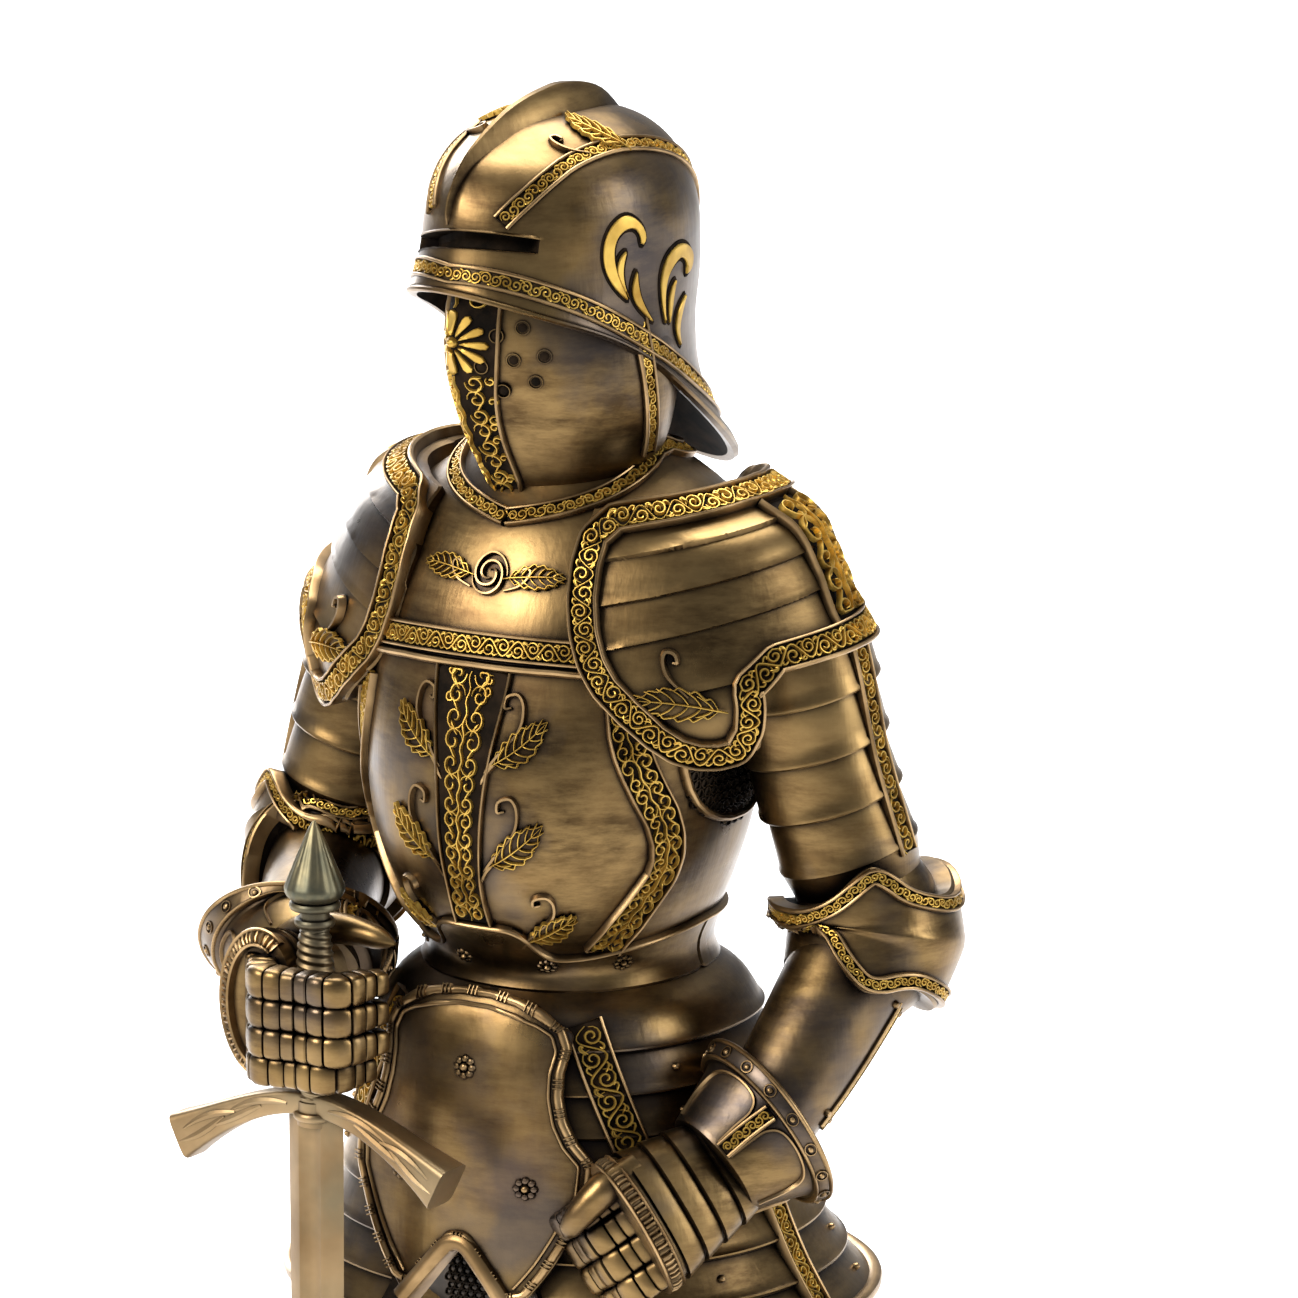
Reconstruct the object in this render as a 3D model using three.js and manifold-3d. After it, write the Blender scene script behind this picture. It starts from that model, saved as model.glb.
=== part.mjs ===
import * as THREE from 'three';
import { mergeVertices } from 'three/addons/utils/BufferGeometryUtils.js';
import Module from 'manifold-3d';

const wasm = await Module();
wasm.setup();

// Driving dimensions, in millimetres
const FIGURE_HEIGHT = 340;
const PLINTH_RADIUS = 66;
const PLINTH_HEIGHT = 24;
// The figure stands this far behind the plinth's centre, which leaves room for the sword's point
const FIGURE_SETBACK = 6;
// The room between the sword and the hand that holds it
const SWORD_CLEARANCE = 0.3;
const GRIP_RADIUS = 2.8;
const POMMEL_RADIUS = 4.8;
const POMMEL_LENGTH = 13.5;
const BLADE_WIDTH = 10.6;
const BLADE_THICKNESS = 3.6;
const GUARD_LENGTH = 50;
// How far a face may move where the finished skin is thinned
const SURFACE_SLACK = 0.4;
// How far from the sword's middle the skin isn't thinned
const BORE_REACH = 6.5;

// The figure's pose and proportions are shares of its height, written for a height of 340.
const SHARE = FIGURE_HEIGHT / 340;

// Points and directions
const add = (p, q) => [p[0] + q[0], p[1] + q[1], p[2] + q[2]];
const less = (p, q) => [p[0] - q[0], p[1] - q[1], p[2] - q[2]];
const times = (p, k) => [p[0] * k, p[1] * k, p[2] * k];
const dot = (p, q) => p[0] * q[0] + p[1] * q[1] + p[2] * q[2];
const cross = (p, q) => [p[1] * q[2] - p[2] * q[1], p[2] * q[0] - p[0] * q[2], p[0] * q[1] - p[1] * q[0]];
const size = (p) => Math.sqrt(dot(p, p));
const unit = (p) => times(p, 1 / size(p));
const radians = (degrees) => (degrees * Math.PI) / 180;

// A form is a row of oval sections. A point on it is named by its place along the row and its
// angle round the section: 0 at the front, 90 degrees on the knight's left, 180 at the back.
function section(at, centre, reach, shape = {}) {
  const side = shape.side ?? [1, 0, 0];
  const back = shape.back ?? [0, 1, 0];
  return [at, ...centre, ...side, ...back, ...reach, shape.power ?? 2, shape.keel ?? 0, shape.taper ?? 0];
}

function between(rows, at) {
  let index = 0;
  while (index < rows.length - 2 && at > rows[index + 1][0]) index += 1;
  const low = rows[index];
  const high = rows[index + 1];
  const before = rows[Math.max(index - 1, 0)];
  const after = rows[Math.min(index + 2, rows.length - 1)];
  const span = high[0] - low[0];
  const u = (at - low[0]) / span;
  return low.map((value, column) => {
    const slopeLow = (high[column] - before[column]) / (high[0] - before[0]);
    const slopeHigh = (after[column] - low[column]) / (after[0] - low[0]);
    const rise = high[column] - value;
    if (u < 0) return value + slopeLow * u * span;
    if (u > 1) return high[column] + slopeHigh * (u - 1) * span;
    const a = slopeLow * span - rise;
    const b = rise - slopeHigh * span;
    return value + rise * u + u * (1 - u) * (a * (1 - u) + b * u);
  });
}

function ovalPoint(values, degrees) {
  const [, cx, cy, cz, sx, sy, sz, bx, by, bz, sideReach, front, back, power, keel, taper] = values;
  const sine = Math.sin(radians(degrees));
  const cosine = Math.cos(radians(degrees));
  const round = (value) => Math.sign(value) * Math.abs(value) ** (2 / power);
  const across = sideReach * round(sine) * (1 - taper * Math.max(0, -cosine));
  const ridge = cosine > 0 ? keel * Math.max(0, 1 - Math.abs(across) / (0.8 * sideReach)) ** 2 : 0;
  const ahead = (cosine > 0 ? front : back) * round(cosine) + ridge;
  return [
    cx + sx * across - bx * ahead,
    cy + sy * across - by * ahead,
    cz + sz * across - bz * ahead,
  ];
}

function form(rows) {
  const nudge = Math.abs(rows.at(-1)[0] - rows[0][0]) / 400;
  return (along, degrees, raise = 0) => {
    const values = between(rows, along);
    const point = ovalPoint(values, degrees);
    if (raise === 0) return times(point, SHARE);
    const round = less(ovalPoint(values, degrees + 1), ovalPoint(values, degrees - 1));
    const ahead = less(
      ovalPoint(between(rows, along + nudge), degrees),
      ovalPoint(between(rows, along - nudge), degrees),
    );
    const normal = unit(cross(round, ahead));
    const outward = dot(normal, less(point, values.slice(1, 4))) < 0 ? -1 : 1;
    return times(add(point, times(normal, outward * raise)), SHARE);
  };
}

// A limb's sections stand across its path
function limb(stops) {
  return form(stops.map(([at, centre, reach, shape = {}], index) => {
    const from = stops[Math.max(index - 1, 0)][1];
    const to = stops[Math.min(index + 1, stops.length - 1)][1];
    const down = shape.down ?? unit(less(to, from));
    const rear = shape.rear ?? [0, 1, 0];
    const back = unit(less(rear, times(down, dot(rear, down))));
    const side = cross(down, back);
    return section(at, centre, reach, { ...shape, side, back });
  }));
}
const torso = form([
  section(194, [0, 0, 194], [26, 28, 22], { power: 2.2 }),
  section(203, [0, 0, 203], [21.5, 24, 18], { power: 2.2 }),
  section(212, [0, 0, 212], [25, 31, 20], { power: 2.2 }),
  section(224, [0, 0, 224], [29, 35, 22], { power: 2.2 }),
  section(238, [0, 0, 238], [31, 34.5, 24], { power: 2.2 }),
  section(252, [0, 0, 252], [32, 31, 25], { power: 2.2 }),
  section(264, [0, 0, 264], [31, 27, 25], { power: 2.2 }),
  section(274, [0, 0, 274], [26, 21, 22], { power: 2.1 }),
  section(282, [0, 0, 282], [16, 14, 15], { power: 2 }),
  section(289, [0, 0, 289], [11, 11, 12], { power: 2 }),
]);

// The head is turned a little to the knight's right
const HEAD_TURN = 10;
const HEAD_CENTRE = [-0.6, -3];
const headBack = [Math.sin(radians(HEAD_TURN)), Math.cos(radians(HEAD_TURN)), 0];
const headSide = [Math.cos(radians(HEAD_TURN)), -Math.sin(radians(HEAD_TURN)), 0];
const headSection = (at, height, reach, slope, keel = 0, power = 2, taper = 0, centre = HEAD_CENTRE) => section(
  at, [...centre, height], reach,
  { side: headSide, back: [headBack[0], headBack[1], -slope], keel, power, taper },
);

// The helmet's sections lean back with its rim. Place 0 is the rim and 10 is the crown.
const sallet = form([
  headSection(-1, 292, [21.6, 28.2, 41], 0.59, 0, 2, 0.3),
  headSection(0, 295.4, [21.4, 27.6, 39], 0.576, 0, 2, 0.3),
  headSection(1, 298.6, [20.4, 27, 32.5], 0.54, 0, 2, 0.26),
  headSection(2, 302.5, [19.6, 26, 27], 0.5, 0.4, 2, 0.18),
  headSection(3.5, 309, [19.2, 24.8, 24], 0.42, 0.8, 2, 0.06),
  headSection(5, 316, [19.2, 23.6, 24.6], 0.3, 1.4),
  headSection(6.5, 323, [18.8, 21.6, 24.4], 0.16, 2),
  headSection(8, 329, [16.4, 18.2, 21], 0.06, 2.2),
  headSection(9, 333, [12.2, 13.4, 15.6], 0, 2),
  headSection(9.7, 335.4, [6.5, 8.4, 9], 0, 1),
  headSection(10, 336, [1.6, 1.6, 2], 0),
]);
const BEVOR_TURN = 24;
const BEVOR_CENTRE = [2, -3.3];
const bevorBack = [Math.sin(radians(BEVOR_TURN)), Math.cos(radians(BEVOR_TURN)), 0];
const bevorSide = [bevorBack[1], -bevorBack[0], 0];
const bevorSection = (height, reach, keel) => section(
  height, [...BEVOR_CENTRE, height], reach,
  { side: bevorSide, back: bevorBack, keel, power: 1.9 },
);
const bevor = form([
  bevorSection(274, [9, 11, 9], 1.6),
  bevorSection(280, [13, 13.8, 12.8], 2.4),
  bevorSection(288, [16.4, 17.2, 15], 2.8),
  bevorSection(298, [17.6, 19.8, 16], 3),
  bevorSection(308, [15.8, 19.8, 14.6], 2.6),
  bevorSection(320, [12.5, 17, 12.5], 0),
]);

// A shoulder plate's sections rise outwards. Place 0 is its top by the neck, and 42 is below its
// lower edge.
function pauldronForm(hand, [x, y, lift], turn) {
  const back = [Math.sin(radians(turn)), Math.cos(radians(turn))];
  const level = (at, height, reach, rise) => section(
    at, [x, y, height + lift], reach,
    { side: [back[1], -back[0], hand * rise], back: [...back, rise * 0.4], power: 1.95 },
  );
  return form([
    level(0, 282.2, [3, 3, 3], 0),
    level(1, 281.2, [14, 11, 10], 0),
    level(2.5, 279.4, [22, 18, 16.5], 0.03),
    level(5, 275.4, [27.5, 22.5, 20], 0.08),
    level(9, 270, [32.2, 25.5, 22.5], 0.14),
    level(15, 262.4, [35.2, 27.5, 24], 0.18),
    level(22, 254.4, [38.4, 28.4, 25], 0.2),
    level(28, 248, [42.2, 28.8, 25.5], 0.2),
    level(34, 242, [41, 28.6, 25.5], 0.2),
    level(42, 234, [38, 27.6, 25], 0.2),
  ]);
}
const leftPauldron = pauldronForm(1, [10, -3.5, -0.6], 0);
const rightPauldron = pauldronForm(-1, [-5, 0, -2], 9);

const leftUpperArm = limb([
  [0, [34.5, 2, 264], [12.6, 12.6, 12.6]],
  [14, [38, 3.5, 250], [12, 12.2, 12]],
  [28, [40.6, 5.5, 236], [11.2, 11.4, 11.2]],
  [42, [44.2, 8, 222], [10.6, 11, 10.6]],
  [54, [47.4, 10, 210], [10.2, 10.6, 10.4]],
]);
const leftForearm = limb([
  [0, [48, 10, 208], [10, 10.4, 10.4]],
  [14, [46.4, 1.5, 198.5], [9.6, 9.4, 9.6]],
  [28, [44, -7.5, 188.5], [8.8, 8.4, 8.8]],
  [42, [40.5, -17, 178], [7.6, 7, 7.6]],
]);
const rightUpperArm = limb([
  [0, [-32, 6, 262], [13, 13, 13]],
  [14, [-35.5, 6, 249], [12.6, 12.6, 12.6]],
  [28, [-39.5, 5.5, 235.5], [12, 12.2, 12]],
  [42, [-43, 4.6, 222], [11.2, 11.6, 11.2]],
  [54, [-45.6, 4, 212], [10.2, 10.6, 10.4]],
]);
const rightForearm = limb([
  [0, [-45.6, 4, 210], [10, 10.4, 10.4]],
  [16, [-41, -10, 206], [9.4, 9.4, 9.4]],
  [32, [-34, -24.5, 202], [8.4, 8.4, 8.4]],
  [44, [-27, -36, 199], [7.6, 7, 7.6]],
]);

const skirt = form([
  section(138, [0, 0, 138], [51, 36.5, 48], { power: 2.2 }),
  section(143, [0, 0, 143], [48, 35.5, 45], { power: 2.2 }),
  section(149, [0, 0, 149], [44, 34.5, 40.5], { power: 2.2 }),
  section(156, [0, 0, 156], [40, 33.5, 36], { power: 2.2 }),
  section(165, [0, 0, 165], [36.5, 33, 32.5], { power: 2.2 }),
  section(175, [0, 0, 175], [34, 32.5, 30], { power: 2.2 }),
  section(186, [0, 0, 186], [31, 31.5, 27], { power: 2.2 }),
  section(196, [0, 0, 196], [27.5, 29, 24], { power: 2.2 }),
  section(200, [0, 0, 200], [24.5, 26.5, 21.5], { power: 2.2 }),
]);
// Solids
function solid(points, faces) {
  let volume = 0;
  for (const [a, b, c] of faces) volume += dot(points[a], cross(points[b], points[c]));
  const turned = volume < 0 ? faces.map(([a, b, c]) => [a, c, b]) : faces;
  const raised = points.map((p) => add(p, [0, FIGURE_SETBACK, PLINTH_HEIGHT]));
  const mesh = new wasm.Mesh({
    numProp: 3,
    vertProperties: new Float32Array(raised.flat()),
    triVerts: new Uint32Array(turned.flat()),
  });
  return new wasm.Manifold(mesh);
}

const middle = (points) => times(points.reduce(add, [0, 0, 0]), 1 / points.length);

// Rings of equally many points, joined one to the next and closed at both ends
function ringSolid(rings) {
  const count = rings[0].length;
  const points = rings.flat();
  const faces = [];
  for (let row = 0; row < rings.length - 1; row += 1) {
    for (let k = 0; k < count; k += 1) {
      const a = row * count + k;
      const b = row * count + ((k + 1) % count);
      faces.push([a, b, b + count], [a, b + count, a + count]);
    }
  }
  const last = (rings.length - 1) * count;
  points.push(middle(rings[0]), middle(rings.at(-1)));
  for (let k = 0; k < count; k += 1) {
    const next = (k + 1) % count;
    faces.push([points.length - 2, next, k], [points.length - 1, last + k, last + next]);
  }
  return solid(points, faces);
}

const steps = (from, to, count) => Array.from({ length: count + 1 }, (_, k) => from + ((to - from) * k) / count);

// The whole round of a form, through rows of [place, raise]; a row that isn't level has its place
// as a function of the degrees
function loft(surface, rows, count) {
  const turn = 360 / count;
  const placeAt = (along, degrees) => (typeof along === 'function' ? along(degrees) : along);
  return ringSolid(rows.map(([along, raise]) => (
    Array.from({ length: count }, (_, k) => surface(placeAt(along, k * turn), k * turn, raise))
  )));
}

// A limb's lames: each is a ring that flares by `flare` and overlaps the next one
function lameRows(from, to, count, flare, raise = 0) {
  const rows = [];
  const length = (to - from) / count;
  for (let k = 0; k < count; k += 1) {
    rows.push([from + k * length + 0.02 * length, raise]);
    rows.push([from + (k + 1) * length - 0.02 * length, raise + flare]);
  }
  return rows;
}

// A patch of a form inside an outline of [degrees, place], from one raise to another
function plate(surface, outline, low, high, longest = 6) {
  const flat = outline.map(([degrees, along]) => new THREE.Vector2(degrees, along));
  let faces = THREE.ShapeUtils.triangulateShape(flat, []);
  const spots = outline.map((spot) => [...spot]);
  const middles = new Map();
  const length = (a, b) => size(less(surface(spots[a][1], spots[a][0]), surface(spots[b][1], spots[b][0])));
  const halfway = (a, b) => {
    const name = a < b ? `${a} ${b}` : `${b} ${a}`;
    if (!middles.has(name)) {
      spots.push([(spots[a][0] + spots[b][0]) / 2, (spots[a][1] + spots[b][1]) / 2]);
      middles.set(name, spots.length - 1);
    }
    return middles.get(name);
  };
  for (let split = true; split;) {
    split = false;
    faces = faces.flatMap((face) => {
      const [a, b, c] = face;
      const sides = [[length(a, b), a, b, c], [length(b, c), b, c, a], [length(c, a), c, a, b]];
      const [long, from, to, apex] = sides.sort((p, q) => q[0] - p[0])[0];
      if (long <= longest * SHARE) return [face];
      split = true;
      const half = halfway(from, to);
      return [[from, half, apex], [half, to, apex]];
    });
  }
  const rim = new Map();
  for (const [a, b, c] of faces) {
    for (const [from, to] of [[a, b], [b, c], [c, a]]) {
      if (!rim.delete(`${to} ${from}`)) rim.set(`${from} ${to}`, [from, to]);
    }
  }
  const count = spots.length;
  const points = [high, low].flatMap((raise) => spots.map(([degrees, along]) => surface(along, degrees, raise)));
  const under = faces.map(([a, b, c]) => [a + count, c + count, b + count]);
  const walls = [...rim.values()].flatMap(([a, b]) => [[b, a, a + count], [b, a + count, b + count]]);
  return solid(points, [...faces, ...under, ...walls]);
}

// A thick sheet of a form, through rows of [degrees, place, raise], closed underneath
function sheet(surface, rows, low) {
  const wide = rows[0].length;
  const count = rows.length * wide;
  const tops = rows.flatMap((row) => row.map(([degrees, along, raise]) => surface(along, degrees, raise)));
  const feet = rows.flatMap((row) => row.map(([degrees, along]) => surface(along, degrees, low)));
  const faces = [];
  for (let row = 0; row < rows.length - 1; row += 1) {
    for (let k = row * wide; k < row * wide + wide - 1; k += 1) {
      faces.push([k, k + 1, k + wide + 1], [k, k + wide + 1, k + wide]);
    }
  }
  const under = faces.map(([a, b, c]) => [a + count, c + count, b + count]);
  const span = steps(0, wide - 1, wide - 1);
  const rim = [
    ...span, ...steps(2 * wide - 1, count - 1, rows.length - 2),
    ...span.slice(0, -1).reverse().map((k) => count - wide + k),
    ...steps(count - 2 * wide, wide, rows.length - 3),
  ];
  const walls = rim.flatMap((a, k) => {
    const b = rim[(k + 1) % rim.length];
    return [[b, a, a + count], [b, a + count, b + count]];
  });
  return solid([...tops, ...feet], [...faces, ...under, ...walls]);
}

// Moves a spot [degrees, place] of a form by so many millimetres round it and along it
function shift(surface, [degrees, along], round, down) {
  const here = surface(along, degrees);
  const byDegree = less(surface(along, degrees + 1), here);
  const byPlace = less(surface(along + 0.2, degrees), here);
  const a = dot(byDegree, byDegree);
  const b = dot(byDegree, byPlace);
  const c = dot(byPlace, byPlace);
  const first = unit(byDegree);
  const second = unit(less(byPlace, times(first, dot(byPlace, first))));
  const goal = add(times(first, round * SHARE), times(second, down * SHARE));
  const p = dot(goal, byDegree);
  const q = dot(goal, byPlace);
  const det = a * c - b * b;
  return [degrees + (p * c - q * b) / det, along + (0.2 * (q * a - p * b)) / det];
}

// Directions on a form at a spot: round it, along it and out of it
function frameAt(surface, [degrees, along]) {
  const here = surface(along, degrees);
  const byPlace = less(surface(along + 0.2, degrees), here);
  const round = unit(less(surface(along, degrees + 1), here));
  const ahead = unit(less(byPlace, times(round, dot(byPlace, round))));
  return { round, ahead, out: unit(less(surface(along, degrees, 1), here)) };
}

// A flat-topped band along a line of spots on a form
function band(surface, line, width, low, high) {
  const half = width / 2;
  const rings = line.map((spot, index) => {
    const from = line[Math.max(index - 1, 0)];
    const to = line[Math.min(index + 1, line.length - 1)];
    const forward = unit(less(surface(to[1], to[0]), surface(from[1], from[0])));
    const frame = frameAt(surface, spot);
    const across = cross(forward, frame.out);
    const right = [half * dot(across, frame.round), half * dot(across, frame.ahead)];
    const near = shift(surface, spot, -right[0], -right[1]);
    const far = shift(surface, spot, right[0], right[1]);
    return [
      surface(near[1], near[0], low), surface(near[1], near[0], high),
      surface(far[1], far[0], high), surface(far[1], far[0], low),
    ];
  });
  return ringSolid(rings);
}

// An outline's spots, moved inwards over the form
function inset(surface, outline, distance) {
  const after = (k) => outline[(k + 1) % outline.length];
  const before = (k) => outline[(k + outline.length - 1) % outline.length];
  const area = outline.reduce((sum, [x, y], k) => sum + x * after(k)[1] - after(k)[0] * y, 0);
  return outline.map((spot, k) => {
    const forward = less(surface(after(k)[1], after(k)[0]), surface(before(k)[1], before(k)[0]));
    const frame = frameAt(surface, spot);
    const round = dot(forward, frame.round);
    const ahead = dot(forward, frame.ahead);
    const reach = (Math.sign(area) * distance) / Math.hypot(round, ahead);
    return shift(surface, spot, -ahead * reach, round * reach);
  });
}

// A round bar through points, with a radius at each
function bar(stops, count = 8, squash = 1) {
  const rings = stops.map(([point, radius], index) => {
    const from = stops[Math.max(index - 1, 0)][0];
    const to = stops[Math.min(index + 1, stops.length - 1)][0];
    const forward = unit(less(to, from));
    const rear = Math.abs(forward[1]) > 0.9 ? [1, 0, 0] : [0, 1, 0];
    const first = unit(less(rear, times(forward, dot(rear, forward))));
    const second = cross(forward, first);
    return Array.from({ length: count }, (_, k) => {
      const angle = radians((360 * k) / count);
      const spread = add(times(first, radius * Math.cos(angle)), times(second, radius * squash * Math.sin(angle)));
      return times(add(point, spread), SHARE);
    });
  });
  return ringSolid(rings);
}
// Adds a spot's mirror image on the knight's other side, in reverse, to close an outline
const mirrored = (line) => [...line, ...line.filter(([degrees]) => degrees !== 0).map(([d, a]) => [-d, a]).reverse()];
const otherSide = (line) => line.map(([degrees, along]) => [-degrees, along]).reverse();

// Ornament, laid on a form from a spot, turned by `heading` degrees from straight up it
function motif(surface, spot, heading, upward = 1) {
  const turn = radians(heading);
  return (points) => points.map(([right, up]) => shift(
    surface, spot,
    right * Math.cos(turn) + up * Math.sin(turn),
    upward * (up * Math.cos(turn) - right * Math.sin(turn)),
  ));
}

function leaf(surface, spot, heading, length, width, upward = 1) {
  const half = [[0.5, 0.3], [0.36, 0.45], [0.46, 0.62], [0, 1]];
  const outline = [[0, 0], ...half, ...half.slice(0, -1).map(([x, y]) => [-x, y]).reverse()];
  const place = motif(surface, spot, heading, upward);
  return plate(surface, place(outline.map(([x, y]) => [x * width, y * length])), -0.6, 0.8, 14);
}

// A stem that ends in a hook, to the right for a positive `curl`
function tendril(surface, spot, heading, length, curl, upward = 1) {
  const line = [[0, 0], [-0.1, 0.5], [0.12, 0.94], [0.46, 0.9], [0.4, 0.68]];
  const place = motif(surface, spot, heading, upward);
  return band(surface, place(line.map(([x, y]) => [x * curl, y * length])), 0.9, -0.6, 0.8);
}

function rosette(surface, spot, radius, petals = 6) {
  const place = motif(surface, spot, 0);
  const outline = steps(0, 2 * petals - 1, 2 * petals - 1).map((k) => {
    const reach = k % 2 ? radius : radius * 0.62;
    const angle = (Math.PI * k) / petals;
    return [reach * Math.cos(angle), reach * Math.sin(angle)];
  });
  return plate(surface, place(outline), -0.6, 0.9, 9);
}

// The breast and back plates
const CHEST_BAND = [[-44, 254.4], [-22, 255.8], [0, 256.2], [22, 256.2], [44, 255.4]];
const CENTRE_STRIP = [[0, 212], [5.6, 212], [5.4, 224], [6.8, 238], [10, 253.5], [0, 254]];
const SIDE_BAND = [[44, 248], [47, 240.5], [67, 223.5], [55, 213], [44, 207]];
const WAIST_EDGE = [[0, 211.6], [15, 211.6], [20, 206.6], [28, 205.4], [60, 207.4], [90, 208.8], [180, 209.4]];
const COLLAR = [
  [0, 274.4], [30, 277.2], [60, 280.4], [92, 283.6], [115, 281], [150, 279.4], [180, 279],
];

function torsoPieces() {
  const waist = [...WAIST_EDGE, ...steps(180, 0, 4).map((degrees) => [degrees, 201])];
  const pieces = [
    loft(torso, [194, 199, 203, 208, 214, 222, 232, 244, 255, 264, 272, 279, 286].map((z) => [z, 0]), 22),
    band(torso, CHEST_BAND, 5, -0.5, 0.7),
    plate(torso, mirrored(CENTRE_STRIP), -0.5, 0.6, 14),
    plate(torso, waist, -0.6, 0.9, 14),
    plate(torso, otherSide(waist), -0.6, 0.9, 14),
  ];
  for (const line of [SIDE_BAND, otherSide(SIDE_BAND)]) pieces.push(band(torso, line, 7.2, -0.8, 0.7));
  for (const line of [COLLAR, otherSide(COLLAR)]) pieces.push(band(torso, line, 3.2, -1.5, 1.1));
  const sprays = [[5, 238.5, 19], [5, 222.5, 19], [13, 209.5, 16]];
  for (const [degrees, height, length] of sprays) {
    for (const hand of [1, -1]) {
      const root = [hand * degrees, height];
      pieces.push(leaf(torso, root, hand * 55, length * 0.62, 6));
      pieces.push(tendril(torso, shift(torso, root, hand * 4.5, 3), hand * 20, length * 0.5, -hand * 7));
    }
  }
  for (const hand of [1, -1]) {
    pieces.push(leaf(torso, [hand * 6, 265.6], hand * 78, 9.5, 4.6));
    pieces.push(tendril(torso, [hand * 5, 264.4], hand * 50, 6, -hand * 4));
  }
  const coil = steps(0, 10, 10).map((k) => {
    const reach = 3.4 - k * 0.2;
    return [reach * Math.cos(k), reach * Math.sin(k)];
  });
  pieces.push(band(torso, motif(torso, [0, 266.6], 0)(coil), 0.9, -0.6, 0.9));
  for (const degrees of [-13, 21, -47]) pieces.push(rosette(torso, [degrees, 204.6], 1.9));
  return pieces;
}

// The helmet, cut out under the brim, with its comb, its slit and its ornament
const SLIT_HALF_ANGLE = 37;
const SLIT = [
  [-SLIT_HALF_ANGLE, 2.7], [-20, 2.85], [0, 3], [20, 3.4], [SLIT_HALF_ANGLE, 3.8],
  [SLIT_HALF_ANGLE, 4.5], [20, 4.3], [0, 3.98], [-20, 3.65], [-SLIT_HALF_ANGLE, 3.45],
];
const RIM_BAND = [[0, 1.5], [20, 1.78], [40, 1.92], [62, 1.9], [90, 1.5], [120, 1.2], [150, 1.1], [180, 1.1]];
// The lower edge rises over the cheeks
const edgeRise = (place) => (degrees) => {
  const turned = degrees > 180 ? 360 - degrees : degrees;
  return place + 0.9 * Math.max(0, 1 - place / 1.6) * Math.exp(-(((turned - 72) / 32) ** 2));
};
const CROWN_BAND = [[21, 5], [26, 6.1], [36, 7.6], [49, 8.5], [78, 8.9], [110, 8.6], [135, 7.8], [156, 6.4], [164, 4.6]];

function combPiece() {
  const profile = [[21.5, 319], [20, 326.5], [13, 335.6], [5, 339.4], [-1, 340], [-9, 337.6], [-18, 328]];
  const rings = profile.map(([ahead, top]) => {
    const foot = add([...HEAD_CENTRE, top - 9], times(headBack, -ahead * 0.8));
    const crest = add([...HEAD_CENTRE, top], times(headBack, -ahead));
    const flank = add([...HEAD_CENTRE, top - 2.6], times(headBack, -ahead * 0.94));
    const fat = Math.max(0, 1 - ((ahead - 1) / 21) ** 2);
    const at = (spot, reach) => times(add(spot, times(headSide, reach)), SHARE);
    return [at(foot, -3.6), at(flank, -0.7 - 1.6 * fat), at(crest, -0.2 - 0.5 * fat), at(crest, 0.2 + 0.5 * fat), at(flank, 0.7 + 1.6 * fat), at(foot, 3.6)];
  });
  return ringSolid(rings);
}

// A flame of the helmet's side: a hooked crescent with a tongue inside it
function flamePieces(spot, length) {
  const hook = [[1, 0], [0.2, 0.16], [-0.16, 0.6], [0.2, 1], [0.55, 0.78], [0.18, 0.8], [0.06, 0.5], [0.4, 0.2]];
  const tongue = [[0.95, 0.02], [0.5, 0.28], [0.3, 0.62], [0.46, 0.4]];
  const place = motif(sallet, spot, 0);
  return [hook, tongue].map((line) => (
    plate(sallet, place(line.map(([x, y]) => [x * length * 0.6, y * length])), -0.6, 0.7, 14)
  ));
}

function helmet() {
  const shell = loft(sallet, [[edgeRise(0), 0], [edgeRise(0.3), 0.4], [edgeRise(0.7), 0], [1.8, 0], [3, 0], [4.3, 0], [5.6, 0], [6.9, 0], [8, 0], [9, 0], [9.7, 0], [10, 0]], 26);
  const hollow = loft(sallet, [[-1, -1.2], [0, -1.5], [1.4, -2.1], [3, -3], [5, -4]], 16);
  const slit = plate(sallet, SLIT, -5, 2, 14);
  const pieces = [combPiece()];
  for (const line of [RIM_BAND, otherSide(RIM_BAND)]) pieces.push(band(sallet, line, 3.3, -0.5, 0.5));
  for (const line of [CROWN_BAND, otherSide(CROWN_BAND)]) pieces.push(band(sallet, line, 3.2, -0.6, 0.5));
  for (const hand of [1, -1]) {
    pieces.push(leaf(sallet, [hand * 84, 8.8], hand * -40, 10, 4));
  }
  pieces.push(...flamePieces([72, 2.9], 15), ...flamePieces([97, 2.4], 14));
  const crown = wasm.Manifold.union([shell, ...pieces]).subtract(hollow).subtract(slit);
  const face = loft(bevor, [274, 279, 286, 296, 307, 318].map((z) => [z, 0]), 18);
  const keel = plate(bevor, [[-14, 277], [14, 277], [30, 288], [30, 312], [-30, 312], [-30, 288]], -0.6, 0.7, 14);
  const cheeks = [face, keel];
  for (const line of [[[94, 306], [97, 297], [108, 286]], [[-94, 306], [-97, 297], [-108, 286]]]) cheeks.push(band(bevor, line, 2.6, -0.6, 0.8));
  const neck = loft(bevor, [[262, -1], [275, -1]], 10);
  return [crown, ...cheeks, neck];
}

// The shoulder plates: lames inside a raised border
const PAULDRON = [
  [16, 2.6], [40, 2], [90, 1.6], [140, 2], [164, 3.2], [170, 10], [168, 20],
  [158, 31], [145, 37], [126, 37.4], [124, 27], [92, 27], [55.5, 26],
  [58, 38], [42, 38.4], [30, 34.6], [18, 26], [12.4, 18], [11, 9],
];
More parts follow.
